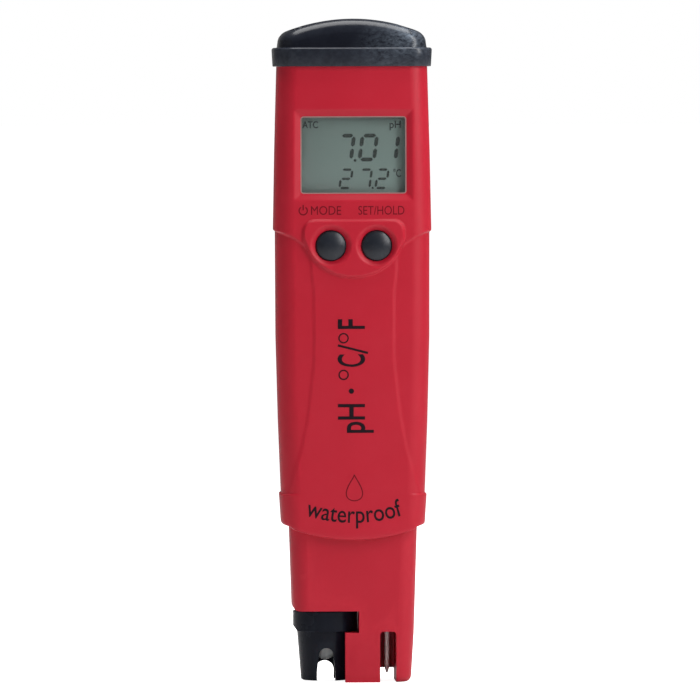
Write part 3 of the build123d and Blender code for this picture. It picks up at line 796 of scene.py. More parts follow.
def spine_distance(x, z):
    """Raised middle of the sleeve, waisted, and flaring towards the skirt."""
    heights, half_widths = zip(*SPINE_EDGE)
    return np.interp(z, heights, half_widths) - np.abs(x)


inside = float(bib_distance(KEYS["hold_key"], KEY_HEIGHT))
print("a key's centre lies inside the display block by", round(inside, 2), "mm")

# %% [markdown]
# The key pad is a raised panel with round shoulders whose foot follows the lobe below it. A
# rounded box and a circle each have a simple distance, and the smaller of the two is the
# distance inside both, so shapes are put together like cut paper.

# %% Distance inside the key pad
PAD_TOP, PAD_HALF_WIDTH, PAD_TALL, PAD_CORNER = 113.6, 12.3, 9.0, 2.6
PAD_INSET = 0.1  # how far the pad stays inside the lobe


def rounded_box(x, z, half_width, half_height, radius):
    """Distance inside a rounded rectangle centred at zero."""
    past_x = np.abs(x) - half_width + radius
    past_z = np.abs(z) - half_height + radius
    outside = np.hypot(np.clip(past_x, 0, None), np.clip(past_z, 0, None))
    return radius - outside - np.minimum(np.maximum(past_x, past_z), 0)


def pad_distance(x, z):
    """Key pad: flat top, rounded shoulders and a round foot."""
    box = rounded_box(x, z - (PAD_TOP - PAD_TALL), PAD_HALF_WIDTH, PAD_TALL, PAD_CORNER)
    return np.minimum(box, LOBE_RADIUS - PAD_INSET - np.hypot(x, z - LOBE_HEIGHT))


inside = float(pad_distance(KEYS["hold_key"], KEY_HEIGHT))
print("a key's centre lies inside the pad by", round(inside, 2), "mm")

# %% [markdown]
# ## The window's sloping frame
# The display sits at the foot of four sloping faces that meet in soft mitres. Cutting them
# with a wedge would leave hard lines. Here the larger of the two distances past the opening
# picks the face, and a logarithm of exponentials is a maximum with its corner rounded.

# %% Slope round the window
BEVEL, BEVEL_FLOOR = 1.65, -10.9
MITRE_SHARPNESS = 9.0
BEVEL_SOFTNESS = 0.04


def bevel_share(x, z):
    """0 at the window's opening and 1 where its sloping frame meets the face."""
    past_x = np.abs(x) - WINDOW_WIDTH / 2
    past_z = np.abs(z - WINDOW_Z) - WINDOW_HEIGHT / 2
    sum_of_both = np.exp(past_x * MITRE_SHARPNESS) + np.exp(past_z * MITRE_SHARPNESS)
    outward = np.log(sum_of_both) / MITRE_SHARPNESS
    share = np.clip(outward / BEVEL, 0, 4)
    return (share + 1 - np.sqrt((share - 1) ** 2 + BEVEL_SOFTNESS**2)) / 2


print("frame's share 1 mm past the opening:", round(float(bevel_share(14.0, WINDOW_Z)), 3))

# %% [markdown]
# ## All the relief together
# The front is sunk or raised by a few tenths of a millimetre: a spine down the sleeve, the
# pad, a dish round each key and the window's frame. One function moves a point by all of
# them in turn. The printing uses the same function later, so the ink follows the surface.

# %% Relief of the front
SPINE_RISE, SPINE_FOOT_RISE = 0.26, 0.19
SPINE_FOOT, SPINE_FOOT_RAMP = 52, 11
SKIRT_RAMP, BLOCK_RAMP, SPINE_RAMP, PAD_RAMP = 0.4, 0.5, 1.0, 0.8
PAD_FRONT = -12.5
DISH_OUTER, DISH_DEPTH, DISH_CURVE = 5.15, 1.0, 1.3
FRAME_REACH = 3.5  # the window's frame is only worked out this near to it


def relief(x, y, z):
    """Moves the plain front to its moulded height."""
    rise = SPINE_RISE + SPINE_FOOT_RISE * step(SPINE_FOOT - z, SPINE_FOOT_RAMP)
    on_sleeve = step(z - SKIRT_TOP, SKIRT_RAMP) * (1 - step(bib_distance(x, z), BLOCK_RAMP))
    y = y - rise * step(spine_distance(x, z), SPINE_RAMP) * on_sleeve
    y = y + (PAD_FRONT - y) * step(pad_distance(x, z), PAD_RAMP)
    for key_x in KEYS.values():
        from_key = np.hypot(x - key_x, z - KEY_HEIGHT)
        dish = np.clip((DISH_OUTER - from_key) / (DISH_OUTER - KEY_HOLE), 0, 1)
        y = y + DISH_DEPTH * dish**DISH_CURVE
    beside = np.abs(x) < WINDOW_WIDTH / 2 + FRAME_REACH
    level = np.abs(z - WINDOW_Z) < WINDOW_HEIGHT / 2 + FRAME_REACH
    sunken = BEVEL_FLOOR + (y - BEVEL_FLOOR) * bevel_share(x, z)
    return np.where(beside & level, sunken, y)


print("front at the pad's middle, y in mm:", round(float(relief(0.0, -12.0, KEY_HEIGHT)), 2))

# %% [markdown]
# ## A mesh from rows of points
# Both shells, the cap and the keys are rows of points that join into quads, like a knitted
# sheet. Sculpting them would be freer, but a tool maker's sizes have to come out exactly, so
# the points are worked out and the mesh is written straight from them.

# %% Rows of points to a mesh
def quads_between(rows, columns, closed):
    """Faces of a grid of points, row by row; closed joins the last column to the first."""
    spans = columns if closed else columns - 1
    row, column = np.meshgrid(np.arange(rows - 1), np.arange(spans), indexing="ij")
    here, beside = row * columns + column, row * columns + (column + 1) % columns
    faces = np.stack([here, beside, beside + columns, here + columns], -1)
    return faces.reshape(-1, 4).tolist()


def mesh_of(name, points, faces):
    """Mesh in metres from points in mm, with its normals facing out."""
    mesh = bpy.data.meshes.new(name)
    mesh.from_pydata((np.asarray(points, float) * MM).tolist(), [], faces)
    form = bmesh.new()
    form.from_mesh(mesh)
    bmesh.ops.remove_doubles(form, verts=form.verts, dist=1e-7)
    bmesh.ops.recalc_face_normals(form, faces=form.faces)
    form.to_mesh(mesh)
    form.free()
    return mesh


def closed_rings(name, rings):
    """Closed solid through rings of points, with one flat face at each end."""
    count = len(rings[0])
    last = count * (len(rings) - 1)
    faces = quads_between(len(rings), count, True)
    faces += [list(range(count)), list(range(last, last + count))]
    return mesh_of(name, np.concatenate(rings), faces)


print("faces of a 3 by 4 grid:", len(quads_between(3, 4, False)))

# %% [markdown]
# ## Cutting, joining and finishing
# Holes are cut with Boolean modifiers, much as a drill would cut them. A modifier is only a
# promise, so it is applied at once and the tool is thrown away. Every piece then gets the same
# last treatment. Its faces are smooth, but edges that turn sharply are marked sharp, so a flat
# next to a rim doesn't shade as if it were bent. It also names the body that it rides on.

# %% Objects, booleans and the last treatment
SHARP_ANGLE = math.radians(32)


def object_of(name, mesh):
    """Object that shows a mesh, linked to the scene."""
    thing = bpy.data.objects.new(name, mesh)
    bpy.context.scene.collection.objects.link(thing)
    return thing


def baked(thing):
    """Applies an object's modifiers and clears them."""
    graph = bpy.context.evaluated_depsgraph_get()
    mesh = bpy.data.meshes.new_from_object(thing.evaluated_get(graph))
    thing.modifiers.clear()
    thing.data = mesh
    return thing


def combine(thing, tool_mesh, operation):
    """Adds a closed mesh to a solid, or cuts it away."""
    tool = object_of("tool", tool_mesh)
    modifier = thing.modifiers.new("combine", "BOOLEAN")
    modifier.object = tool
    modifier.operation = operation
    modifier.solver = "EXACT"
    baked(thing)
    bpy.data.objects.remove(tool)
    return thing


def finished(thing, material, body, replaces=(), sharp=SHARP_ANGLE):
    """Smooths and paints a piece, hangs it on the body that it rides on, and hides the parts that
    it stands for.
    """
    thing.data.materials.clear()
    thing.data.materials.append(material)
    thing.data.shade_smooth()
    thing.data.set_sharp_from_angle(angle=sharp)
    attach(thing, body)
    if replaces:
        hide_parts(*replaces)
    print(thing.name, "faces:", len(thing.data.polygons))
    return thing


print("edges sharper than", round(math.degrees(SHARP_ANGLE)), "degrees stay crisp")

# %% [markdown]
# ## Slabs and turned forms
# Two kinds of plain solid come back many times: a slab with rounded corners, for the lens
# and the openings, and a form turned on a lathe, for keys, posts and holes. Both are rings
# of points with a flat face at each end, so one short function serves for each.

# %% Rounded slabs, and forms turned on a lathe
def rounded_rectangle(width, height, radius, per_corner=8):
    """Outline of a rounded rectangle in x and z."""
    centres = [(1, 1), (-1, 1), (-1, -1), (1, -1)]
    points = []
    for quadrant, (right, top) in enumerate(centres):
        centre = (right * (width / 2 - radius), top * (height / 2 - radius))
        start = quadrant * math.pi / 2
        points.append(arc(centre, radius, start, start + math.pi / 2, per_corner))
    return np.concatenate(points)


def slab(name, layers, middle=(0.0, 0.0)):
    """Closed solid through rounded rectangles (width, height, radius, y), front to rear."""
    rings = []
    for width, height, radius, y in layers:
        flat = rounded_rectangle(width, height, radius)
        level = np.full(len(flat), y)
        rings.append(np.stack([flat[:, 0] + middle[0], level, flat[:, 1] + middle[1]], 1))
    return closed_rings(name, rings)


def turned(name, profile, centre, axis="y", segments=96):
    """Closed solid turned about an axis from (radius, place along the axis) points."""
    turn = np.linspace(0, FULL_TURN, segments, endpoint=False)
    rings = []
    for radius, along in profile:
        across, up = radius * np.cos(turn), radius * np.sin(turn)
        level = np.full(segments, along)
        ring = (across, level, up) if axis == "y" else (across, up, level)
        rings.append(np.stack(ring, 1) + centre)
    return closed_rings(name, rings)


print("points round a slab:", len(rounded_rectangle(10, 8, 1)))

# %% [markdown]
# ## The two shells
# Front and rear are moulded separately and meet in the middle of the sides. Each is built
# as an outer skin of dense rows and an inner skin of a few, bridged round the rims. Rows sit
# closest where the relief is, and the lowest ones bend with the skirt's curved edge.

# %% Rows of the outer skin
def rows_between(*stretches):
    """Heights of the rows, from (start, end, spacing) stretches."""
    levels = [np.arange(start, end - spacing / 2, spacing) for start, end, spacing in stretches]
    return np.concatenate([*levels, [stretches[-1][1]]])


SKIRT_ROWS = [(SKIRT_FOOT, 45.8, 0.53), (45.8, 47.0, 0.15)]
FRONT_ROWS = rows_between(
    *SKIRT_ROWS, (47.0, 98.2, 0.8), (98.2, 114.6, 0.25), (114.6, 117.2, 0.65),
    (117.2, 142.2, 0.25), (142.2, SHELL_TOP, 0.91),
)
REAR_ROWS = rows_between(
    *SKIRT_ROWS, (47.0, 110.2, 1.6), (110.2, 111.8, 0.16), (111.8, SHELL_TOP, 1.58)
)
FOOT_ARC = 47.0
FOOT_BEND_TOP = 45.5
CORNER_LIFT, CORNER_START, CORNER_RAMP = 0.45, 15.3, 0.9


def arc_foot(x):
    """Height of the skirt's curved lower edge, which steps up a little at the corners."""
    turned_up = CORNER_LIFT * step(np.abs(x) - CORNER_START, CORNER_RAMP)
    return SKIRT_FOOT + FOOT_ARC - np.sqrt(FOOT_ARC**2 - x**2) + turned_up


def follow_foot(x, level):
    """Bends the lowest rows so that the first one lies on the curved edge."""
    share = np.clip((FOOT_BEND_TOP - level) / (FOOT_BEND_TOP - SKIRT_FOOT), 0, 1)
    return level + (arc_foot(x) - SKIRT_FOOT) * share


def outer_row(level, rear):
    """One row of the outer skin: sleeve, skirt and block outlines, blended by region."""
    outlines = [
        half_outline(*size_at(stations, level), CORNER, CROWN, CHEEK, rear)
        for stations in (SLEEVE, SKIRT, BLOCK)
    ]
    sleeve, skirt, block = outlines
    z = follow_foot(sleeve[:, 0], level)
    plan = sleeve + (skirt - sleeve) * step(SKIRT_TOP - z, SKIRT_RAMP)[:, None]
    in_block = z - BLOCK_FOOT if rear else bib_distance(sleeve[:, 0], z)
    plan = plan + (block - plan) * step(in_block, BLOCK_RAMP)[:, None]
    x, y = plan.T
    y = np.minimum(y, REAR_FLAT) if rear else relief(x, y, z)
    return np.stack([x, y, z], 1)


print("rows on the front and the rear:", len(FRONT_ROWS), len(REAR_ROWS))

# %% [markdown]
# The skirt's lower edge is rounded over, and a fine groove shows where front and rear meet.
# A Bevel modifier would act on every edge of these dense grids, so the two are made by
# moving rows and columns: four extra rows roll the foot in, and the end columns step back.

# %% Small radii on the foot and the parting line
FOOT_RADIUS = 0.45
FOOT_SPAN = 14  # typical half width, in mm, that turns the radius into a share of the size
PARTING_CHAMFER = 0.13


def soften(grid):
    """Rounds the skin in over the lowest rows and chamfers its two long edges."""
    rounded = []
    for turn in np.radians([0, 25, 50, 75]):
        row = grid[0].copy()
        row[:, :2] *= 1 - FOOT_RADIUS * (1 - math.sin(turn)) / FOOT_SPAN
        row[:, 2] += FOOT_RADIUS * (1 - math.cos(turn))
        rounded.append(row)
    above = int(np.searchsorted(grid[:, 0, 2] - grid[0, 0, 2], FOOT_RADIUS))
    grid = np.concatenate([rounded, grid[max(above, 1):]])
    for column in (0, -1):
        grid[:, column, 0] -= np.sign(grid[:, column, 0]) * PARTING_CHAMFER
    return grid


print("foot radius and parting chamfer in mm:", FOOT_RADIUS, PARTING_CHAMFER)

# %% [markdown]
# A moulded shell is hollow, and its thickness shows at the window, the key holes and the top
# rim once the cap is off. A Solidify modifier would copy the relief to the inside, where the
# real one is plain. So the inner skin has its own few rows, with a narrow bore at the foot
# for the probe housing, and both skins join into one closed solid.

# %% A shell from its two skins
CAVITY_LEVELS = (SHELL_TOP, 95.0, 48.1)
CAVITY_CORNER = 3.6
BORE = (15.85, 9.0, 4.2, 0.3, 0.0)


def shell_mesh(name, rows, rear):
    """Closed shell: outer skin, inner skin, and the rims that join them."""
    outer = soften(np.stack([outer_row(level, rear) for level in rows]))
    inner = []
    for level in CAVITY_LEVELS:
        skin = half_outline(*size_at(CAVITY, level), CAVITY_CORNER, rear=rear)
        inner.append(np.insert(skin, 2, level, axis=1))
    bore = half_outline(*BORE, rear)
    for level in (CAVITY_LEVELS[-1], follow_foot(bore[:, 0], SKIRT_FOOT)):
        inner.append(np.insert(bore, 2, level, axis=1))
    inner = np.stack(inner)
    rings = np.concatenate([outer, inner, outer[:1]])
    columns = rings.shape[1]
    rings[:, [0, -1], 1] = 0
    faces = quads_between(len(rings), columns, False)
    count = len(rings) - 1
    faces.append([row * columns for row in range(count)])
    faces.append([row * columns + columns - 1 for row in range(count)][::-1])
    return mesh_of(name, rings.reshape(-1, 3), faces)


front_shell = object_of("case_front", shell_mesh("case_front", FRONT_ROWS, False))
rear_shell = object_of("case_rear", shell_mesh("case_rear", REAR_ROWS, True))
print("case skins:", len(front_shell.data.polygons), len(rear_shell.data.polygons))

# %% [markdown]
# ## Openings in the front shell
# The window and the key holes go right through, so they are cut with solids rather than
# modelled in the grid: a boolean gives exact round holes at any grid spacing. The shell also
# carries four posts for the circuit board on its inside.

# %% Cutting the front shell
POSTS = [(-13.4, 62.0, -9.0), (13.4, 62.0, -9.0), (-13.6, 97.0, -10.4), (13.6, 97.0, -10.4)]
POST_RADIUS, PILOT_RADIUS, PILOT_DEPTH = 1.9, 0.8, 3.2
NEAR_AXIS = 0.02  # a turned form's end is this wide, so that its flat face has room
SEAT_MARGIN = (4.0, 3.2)  # how much wider and taller the lens flange's seat is
BEFORE_FRONT, BEHIND_FACE = -14, -8  # y of a cutter's two ends
board_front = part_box("main_board")[0].y / MM


def rod(radius, start, end):
    """Profile of a plain rod or hole."""
    return [(NEAR_AXIS, start), (radius, start), (radius, end), (NEAR_AXIS, end)]


for x, z, root in POSTS:
    post = turned("post", rod(POST_RADIUS, root, board_front), (x, 0, z))
    combine(front_shell, post, "UNION")
    pilot = rod(PILOT_RADIUS, board_front - PILOT_DEPTH, 0)
    combine(front_shell, turned("pilot", pilot, (x, 0, z), segments=24), "DIFFERENCE")
openings = {
    "through": [(WINDOW_WIDTH, WINDOW_HEIGHT, 0.8, y) for y in (BEFORE_FRONT, BEHIND_FACE)],
    "seat": [
        (WINDOW_WIDTH + SEAT_MARGIN[0], WINDOW_HEIGHT + SEAT_MARGIN[1], 1.2, y)
        for y in (-10.2, -6)
    ],
}
for name, layers in openings.items():
    combine(front_shell, slab(name, layers, (0, WINDOW_Z)), "DIFFERENCE")
for x in KEYS.values():
    hole = turned("hole", rod(KEY_HOLE, BEFORE_FRONT, BEHIND_FACE), (x, 0, KEY_HEIGHT))
    combine(front_shell, hole, "DIFFERENCE")
finished(front_shell, RED, "case", ["front_shell"])
finished(rear_shell, RED, "case", ["rear_shell"])

# %% [markdown]
# ## The battery cap
# The cap is one black moulding: a band that overhangs the case, and a dome on it whose top
# follows a large arc from side to side. Its outline closes on itself, so each ring is a
# front and a rear half joined. The fillet at the dome's top is turned ring by ring, and each
# point takes its height from the arc, because the edge isn't level.

# %% Rings of the cap
CAP_TOP, BAND_TOP = 163.0, 155.9
CAP_ARC = 44.0
SIDE_FILLET, FACE_FILLET = 1.9, 3.6
FACE_START, FACE_RAMP = 15.2, 5.5  # where the fillet changes from one radius to the other
DOME_FOOT = (18.3, 11.4, 5.0)
DOME_TOP = (18.15, 11.23, 5.0)
DOME_START = BAND_TOP + 0.25
LEAST_WALL = 0.4  # height that the fillet always leaves above the band


def whole_outline(width, depth, corner, crown=CROWN, cheek=CHEEK):
    """Closed outline: the front half and the rear half."""
    front = half_outline(width, depth, corner, crown, cheek)
    rear = half_outline(width, depth, corner, crown, cheek, rear=True)
    return np.concatenate([front[:-1], rear[:-1]])


def arc_top(x):
    """Height of the dome's crown above a place across the width."""
    return CAP_TOP - CAP_ARC + np.sqrt(CAP_ARC**2 - x**2)


def level_ring(width, depth, corner, level, **bows):
    """Ring of the cap at one height."""
    return np.insert(whole_outline(width, depth, corner, **bows), 2, level, axis=1)


def dome_ring(share, turn):
    """Ring of the dome. share lifts it from the band to the fillet, and turn goes round that.

    The fillet is wide along the front and rear faces and tight at the two ends.
    """
    inward = 1 - math.cos(turn)
    side_inset, face_inset = SIDE_FILLET * inward, FACE_FILLET * inward
    width, depth, corner = DOME_TOP
    ring = whole_outline(width - side_inset, depth - face_inset, corner - 0.5 * side_inset)
    foot = whole_outline(*DOME_FOOT)
    crown = arc_top(ring[:, 0])
    on_face = step(FACE_START - np.abs(ring[:, 0]), FACE_RAMP)
    fillet = SIDE_FILLET + (FACE_FILLET - SIDE_FILLET) * on_face
    fillet = np.minimum(fillet, crown - BAND_TOP - LEAST_WALL)
    height = crown - fillet * (1 - math.sin(turn))
    plan = foot + (ring - foot) * share
    return np.insert(plan, 2, DOME_START + (height - DOME_START) * share, axis=1)


print("points on a ring of the cap:", len(level_ring(*DOME_FOOT, BAND_TOP)))

# %% [markdown]
# The band is slightly wider at its top than at its foot and has a small radius on both, so a
# bright line runs along it. The rings below list that outline step by step, as a section
# drawing would. The crown only curves from side to side, so straight strips close the top:
# they follow the arc exactly, where rings shrinking to the middle would leave a crease.

# %% The cap's skin
BAND_RINGS = [  # half width, half depth, corner, height
    (19.20, 12.70, 5.5, SHELL_TOP),
    (19.30, 12.80, 5.6, SHELL_TOP + 0.05),
    (19.36, 12.86, 5.6, SHELL_TOP + 0.2),
    (19.58, 12.98, 5.6, BAND_TOP - 0.6),
    (19.54, 12.94, 5.6, BAND_TOP - 0.35),
    (19.40, 12.80, 5.5, BAND_TOP - 0.12),
    (19.17, 12.57, 5.4, BAND_TOP),
    (18.55, 11.65, 5.2, BAND_TOP),
    (18.38, 11.48, 5.05, BAND_TOP + 0.05),
    (*DOME_FOOT, DOME_START),
]
DOME_SHARES = (0.25, 0.5, 0.75, 1.0)
FILLET_TURN = 7.5


def cap_mesh():
    """Band and dome as one closed skin, from the band's foot up to the crown."""
    rings = [level_ring(*ring) for ring in BAND_RINGS]
    rings += [dome_ring(share, 0.0) for share in DOME_SHARES]
    turns = np.radians(np.arange(FILLET_TURN, 91, FILLET_TURN))
    rings += [dome_ring(1.0, turn) for turn in turns]
    count = len(rings[0])
    faces = quads_between(len(rings), count, True)
    faces.append(list(range(count)))
    top, far = count * (len(rings) - 1), count // 2
    faces += [[top, top + 1, top + count - 1], [top + far - 1, top + far, top + far + 1]]
    for i in range(1, far - 1):
        faces.append([top + i, top + i + 1, top + count - i - 1, top + count - i])
    return mesh_of("cap_top", np.concatenate(rings), faces)


cap = object_of("battery_cap_moulding", cap_mesh())
print("cap faces before cutting:", len(cap.data.polygons))

# %% [markdown]
# Under the cap are two stepped pockets for the gasket and the cells, and a hollow saves
# plastic in the dome. Four screws hold it down, each at the foot of a counterbore. All of
# them are cutters taken from the solid, in the order that a tool maker would sink them.

# %% Pockets and screw holes
CUT_FROM, CUT_TO = 150, 165
POCKETS = [(17.7, 11.0, 152.3), (16.3, 9.9, 154.15)]  # half width, half depth, top
POCKET_CORNER = 3.4
HOLLOW = (21, 3.6, 0.6)
HOLLOW_HALF_DEPTH, HOLLOW_HEIGHT = 7.5, 156.8
SCREW_X, SCREW_Y = 13.3, 6.5
SHANK_HOLE, HEAD_HOLE, HEAD_SEAT = 1.1, 2.2, 155.3


def flat_pocket(half_width, half_depth, top):
    """Cutter for one of the pockets under the cap."""
    plain = {"crown": 0.0, "cheek": 0.0}
    levels = (CUT_FROM, top)
    rings = [level_ring(half_width, half_depth, POCKET_CORNER, z, **plain) for z in levels]
    return closed_rings("pocket", rings)


def sunk_hole(x, y):
    """Cutter for a cap screw: a counterbore with a softened mouth above a through hole."""
    mouth = arc_top(x) + 0.02
    profile = [
        (NEAR_AXIS, CUT_FROM), (SHANK_HOLE, CUT_FROM), (SHANK_HOLE, HEAD_SEAT),
        (HEAD_HOLE, HEAD_SEAT), (HEAD_HOLE, mouth - 0.35), (2.28, mouth - 0.15),
        (2.45, mouth), (2.6, CUT_TO), (NEAR_AXIS, CUT_TO),
    ]
    return turned("sunk_hole", profile, (x, y, 0), axis="z", segments=48)


for pocket in POCKETS:
    combine(cap, flat_pocket(*pocket), "DIFFERENCE")
hollow = [(*HOLLOW, y) for y in (-HOLLOW_HALF_DEPTH, HOLLOW_HALF_DEPTH)]
combine(cap, slab("hollow", hollow, (0, HOLLOW_HEIGHT)), "DIFFERENCE")
for x in (-SCREW_X, SCREW_X):
    for y in (-SCREW_Y, SCREW_Y):
        combine(cap, sunk_hole(x, y), "DIFFERENCE")
print("cap faces after cutting:", len(cap.data.polygons))

# %% [markdown]
# The cap is the same black plastic as the electrode. Its edges take a strong pale blue tint,
# a painted highlight that draws the bright line along the band's ledge, and its right end
# carries pale scuffs from pockets and benches. Three patches of the scuff group show them,
# one strong and two faint.

# %% The cap's finish
SCUFF_PATCHES = [  # across, deep, up, reach, amount
    (0.0140, -0.0105, 0.1588, 0.0065, 0.42),
    (0.0075, -0.0110, 0.1578, 0.0070, 0.10),
    (0.0090, -0.0130, 0.1535, 0.0110, 0.12),
]
SCUFF_INPUTS = ("Across", "Deep", "Up", "Reach", "Amount")
CAP_BLACK = moulded(
    "cap_moulding",
    **BLACK_PLASTIC,
    # The pale blue edge colour, strongly laid on, paints the highlight line along the band's ledge.
    worn_and_highlit=(0.12, 0.135, 0.165),
    dusty=(0.05, 0.06, 0.08),
    gloss=(0.15, 0.30),
    wear=0.45,
    dust=0.05,
    scuffs=[dict(zip(SCUFF_INPUTS, patch)) for patch in SCUFF_PATCHES],
    Specular_IOR_Level=0.24,
)
finished(cap, CAP_BLACK, "battery_cap", ["top_cap"])

# %% [markdown]
# ## Keys
# Each key is a silicone dome with a rounded rim, on a stem that reaches the board. A shape
# that is round about one axis is quickest as a profile turned on a lathe. The dome's profile
# is an arc, and three short steps round its rim over.

# %% Turned keys
KEY_RADIUS, STEM_RADIUS = 3.6, 2.4
KEY_FRONT, KEY_RIM, KEY_BACK, STEM_END = -13.0, -11.95, -11.1, -6.8
KEY_CHAMFER = 0.1
ROLLED_RIM = [(-0.07, 0.06), (-0.01, 0.15), (0.0, 0.28)]  # steps out and back from the dome's edge


def key_mesh(name, x):
    """Domed key with its stem."""
    rise = KEY_RIM - KEY_FRONT
    dome = (KEY_RADIUS**2 + rise**2) / (2 * rise)
    radii = np.linspace(NEAR_AXIS, KEY_RADIUS - 0.16, 22)
    profile = [(r, KEY_FRONT + dome - math.sqrt(dome**2 - r**2)) for r in radii]
    edge = profile[-1][1]
    profile += [(KEY_RADIUS + out, edge + back) for out, back in ROLLED_RIM]
    profile += [
        (KEY_RADIUS, KEY_BACK - KEY_CHAMFER),
        (KEY_RADIUS - KEY_CHAMFER, KEY_BACK),
        (STEM_RADIUS + KEY_CHAMFER, KEY_BACK),
        (STEM_RADIUS, KEY_BACK + KEY_CHAMFER),
        (STEM_RADIUS, STEM_END - KEY_CHAMFER),
        (STEM_RADIUS - KEY_CHAMFER, STEM_END),
        (NEAR_AXIS, STEM_END),
    ]
    return turned(name, profile, (x, 0, KEY_HEIGHT), segments=128)


for node, x in KEYS.items():
    piece = object_of(f"{node}_dome", key_mesh(node, x))
    finished(piece, RUBBER, node, [node])

# %% [markdown]
# ## Window and display
# The lens is a flat polycarbonate plug with a flange behind it. A liquid crystal cell under
# it shows dark segments on a grey-green reflector. The clear lens is a slab of six rings, so
# that its flange and the small chamfer on its front edge are there to catch the light.

# %% Lens
LENS_LAYERS = [  # width, height, corner, y
    (25.5, 18.5, 0.6, -10.80),
    (25.8, 18.8, 0.7, -10.66),
    (25.8, 18.8, 0.7, -10.00),
    (29.4, 21.6, 1.0, -10.00),
    (29.4, 21.6, 1.0, -9.42),
    (29.1, 21.3, 0.9, -9.30),
]
lens = object_of("window_lens", slab("window_lens", LENS_LAYERS, (0, WINDOW_Z)))
finished(lens, CLEAR, "case", ["display_window"])

# %% [markdown]
# A reflective display looks grey-green because light passes the liquid crystal twice, down to
# a brushed foil and back. The polariser on top of the cell is what one really sees, so it is
# a thin sheet of its own. Its grain is finer than the mouldings', like that foil.

# %% Display finishes and the polariser
BEHIND_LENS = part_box("lcd_glass")[0].y / MM
POLARISER_FRONT = BEHIND_LENS - 0.12
POLARISER_LAYERS = [
    (27.5, 19.5, 0.3, POLARISER_FRONT),
    (27.6, 19.6, 0.3, POLARISER_FRONT + 0.03),
    (27.6, 19.6, 0.3, BEHIND_LENS),
]
FOIL_GRAIN = {"gloss": (0.30, 0.42), "ripple": (0.35, 0.003)}
LCD_GREY = moulded(
    "display_reflector",
    colour=(0.148, 0.208, 0.192),
    drift=(0.160, 0.224, 0.205),
    worn_and_highlit=(0.22, 0.28, 0.26),
    dusty=(0.21, 0.27, 0.25),
    **FOIL_GRAIN,
    wear=0.1,
    dust=0.15,
)
LCD_DARK = moulded(
    "display_segment",
    colour=(0.008, 0.013, 0.012),
    drift=(0.012, 0.018, 0.017),
    worn_and_highlit=(0.02, 0.03, 0.03),
    dusty=(0.03, 0.04, 0.04),
    **FOIL_GRAIN,
)
polariser = object_of(
    "display_polariser", slab("display_polariser", POLARISER_LAYERS, (0, WINDOW_Z))
)
finished(polariser, LCD_GREY, "case")

# %% [markdown]
# ## Flat figures
# Digits, lines, dots and words all begin as flat figures: lists of points in a plane, with
# the faces that join them. A font has no seven-segment digits that lean like a display's, so
# these are built from bars with pointed ends, each named by the letter that makers use.

# %% Seven-segment digits
SEGMENTS = {"0": "abcdef", "1": "bc", "2": "abged", "7": "abc"}
DIGIT_SLANT, SEGMENT_GAP = 0.13, 0.2


def segment_digit(digit, left, top, width, height, stroke):
    """Seven-segment digit: bars with pointed ends, leaning to the right."""
    half, waist = stroke / 2, height / 2
    x0, x1, foot, head = half, width - half, half, height - half
    ends = {
        "a": ((x0, head), (x1, head)), "g": ((x0, waist), (x1, waist)),
        "d": ((x0, foot), (x1, foot)), "f": ((x0, head), (x0, waist)),
        "b": ((x1, head), (x1, waist)), "e": ((x0, waist), (x0, foot)),
        "c": ((x1, waist), (x1, foot)),
    }
    figures = []
    for letter in SEGMENTS[digit]:
        start, end = (np.array(point) for point in ends[letter])
        along = (end - start) / np.hypot(*(end - start))
        across = np.array([-along[1], along[0]]) * half
        start, end = start + along * SEGMENT_GAP, end - along * SEGMENT_GAP
        near, far = start + along * half, end - along * half
        bar = [start, near + across, far + across, end, far - across, near - across]
        bar = [(left + x + DIGIT_SLANT * (y - waist), top - height + y) for x, y in bar]
        figures.append((bar, [list(range(6))]))
    return figures


print("bars in a 7 and a 0:", *(len(segment_digit(d, 0, 0, 4, 7, 1)) for d in "70"))

# %% [markdown]
# Dots and lines are the other drawn shapes. A line of even width is a ribbon: at every point
# of its path the direction comes from the two neighbours, and both edges stand off at right
# angles to it.

# %% Dots and ribbons
def circle(x, z, radius, count):
    """Points all round a circle."""
    return arc((x, z), radius, 0, FULL_TURN, count, endpoint=False)


def disc(x, z, radius, count=20):
    """Round dot."""
    return [(circle(x, z, radius, count), [list(range(count))])]


def ribbon(points, width, closed):
    """Line of even width along a path."""
    path = np.asarray(points, float)
    if closed:
        before, after = np.roll(path, 1, 0), np.roll(path, -1, 0)
    else:
        before, after = np.vstack([path[:1], path[:-1]]), np.vstack([path[1:], path[-1:]])
    along = after - before
    along /= np.hypot(*along.T)[:, None]
    across = np.stack([-along[:, 1], along[:, 0]], 1) * width / 2
    count = len(path)
    edge = [*(path + across), *(path - across)]
    steps = range(count if closed else count - 1)
    return [(edge, [[i, (i + 1) % count, count + (i + 1) % count, count + i] for i in steps])]


print("points in a dot:", len(disc(0, 0, 1)[0][0]))

# %% [markdown]
# Words come from Blender's built-in font. A text object can't be measured or bent until it is
# a mesh, so each word is converted, read as points and faces, and then fitted to its place:
# its two ends are given, and its capitals get the height they should have.

# %% Words

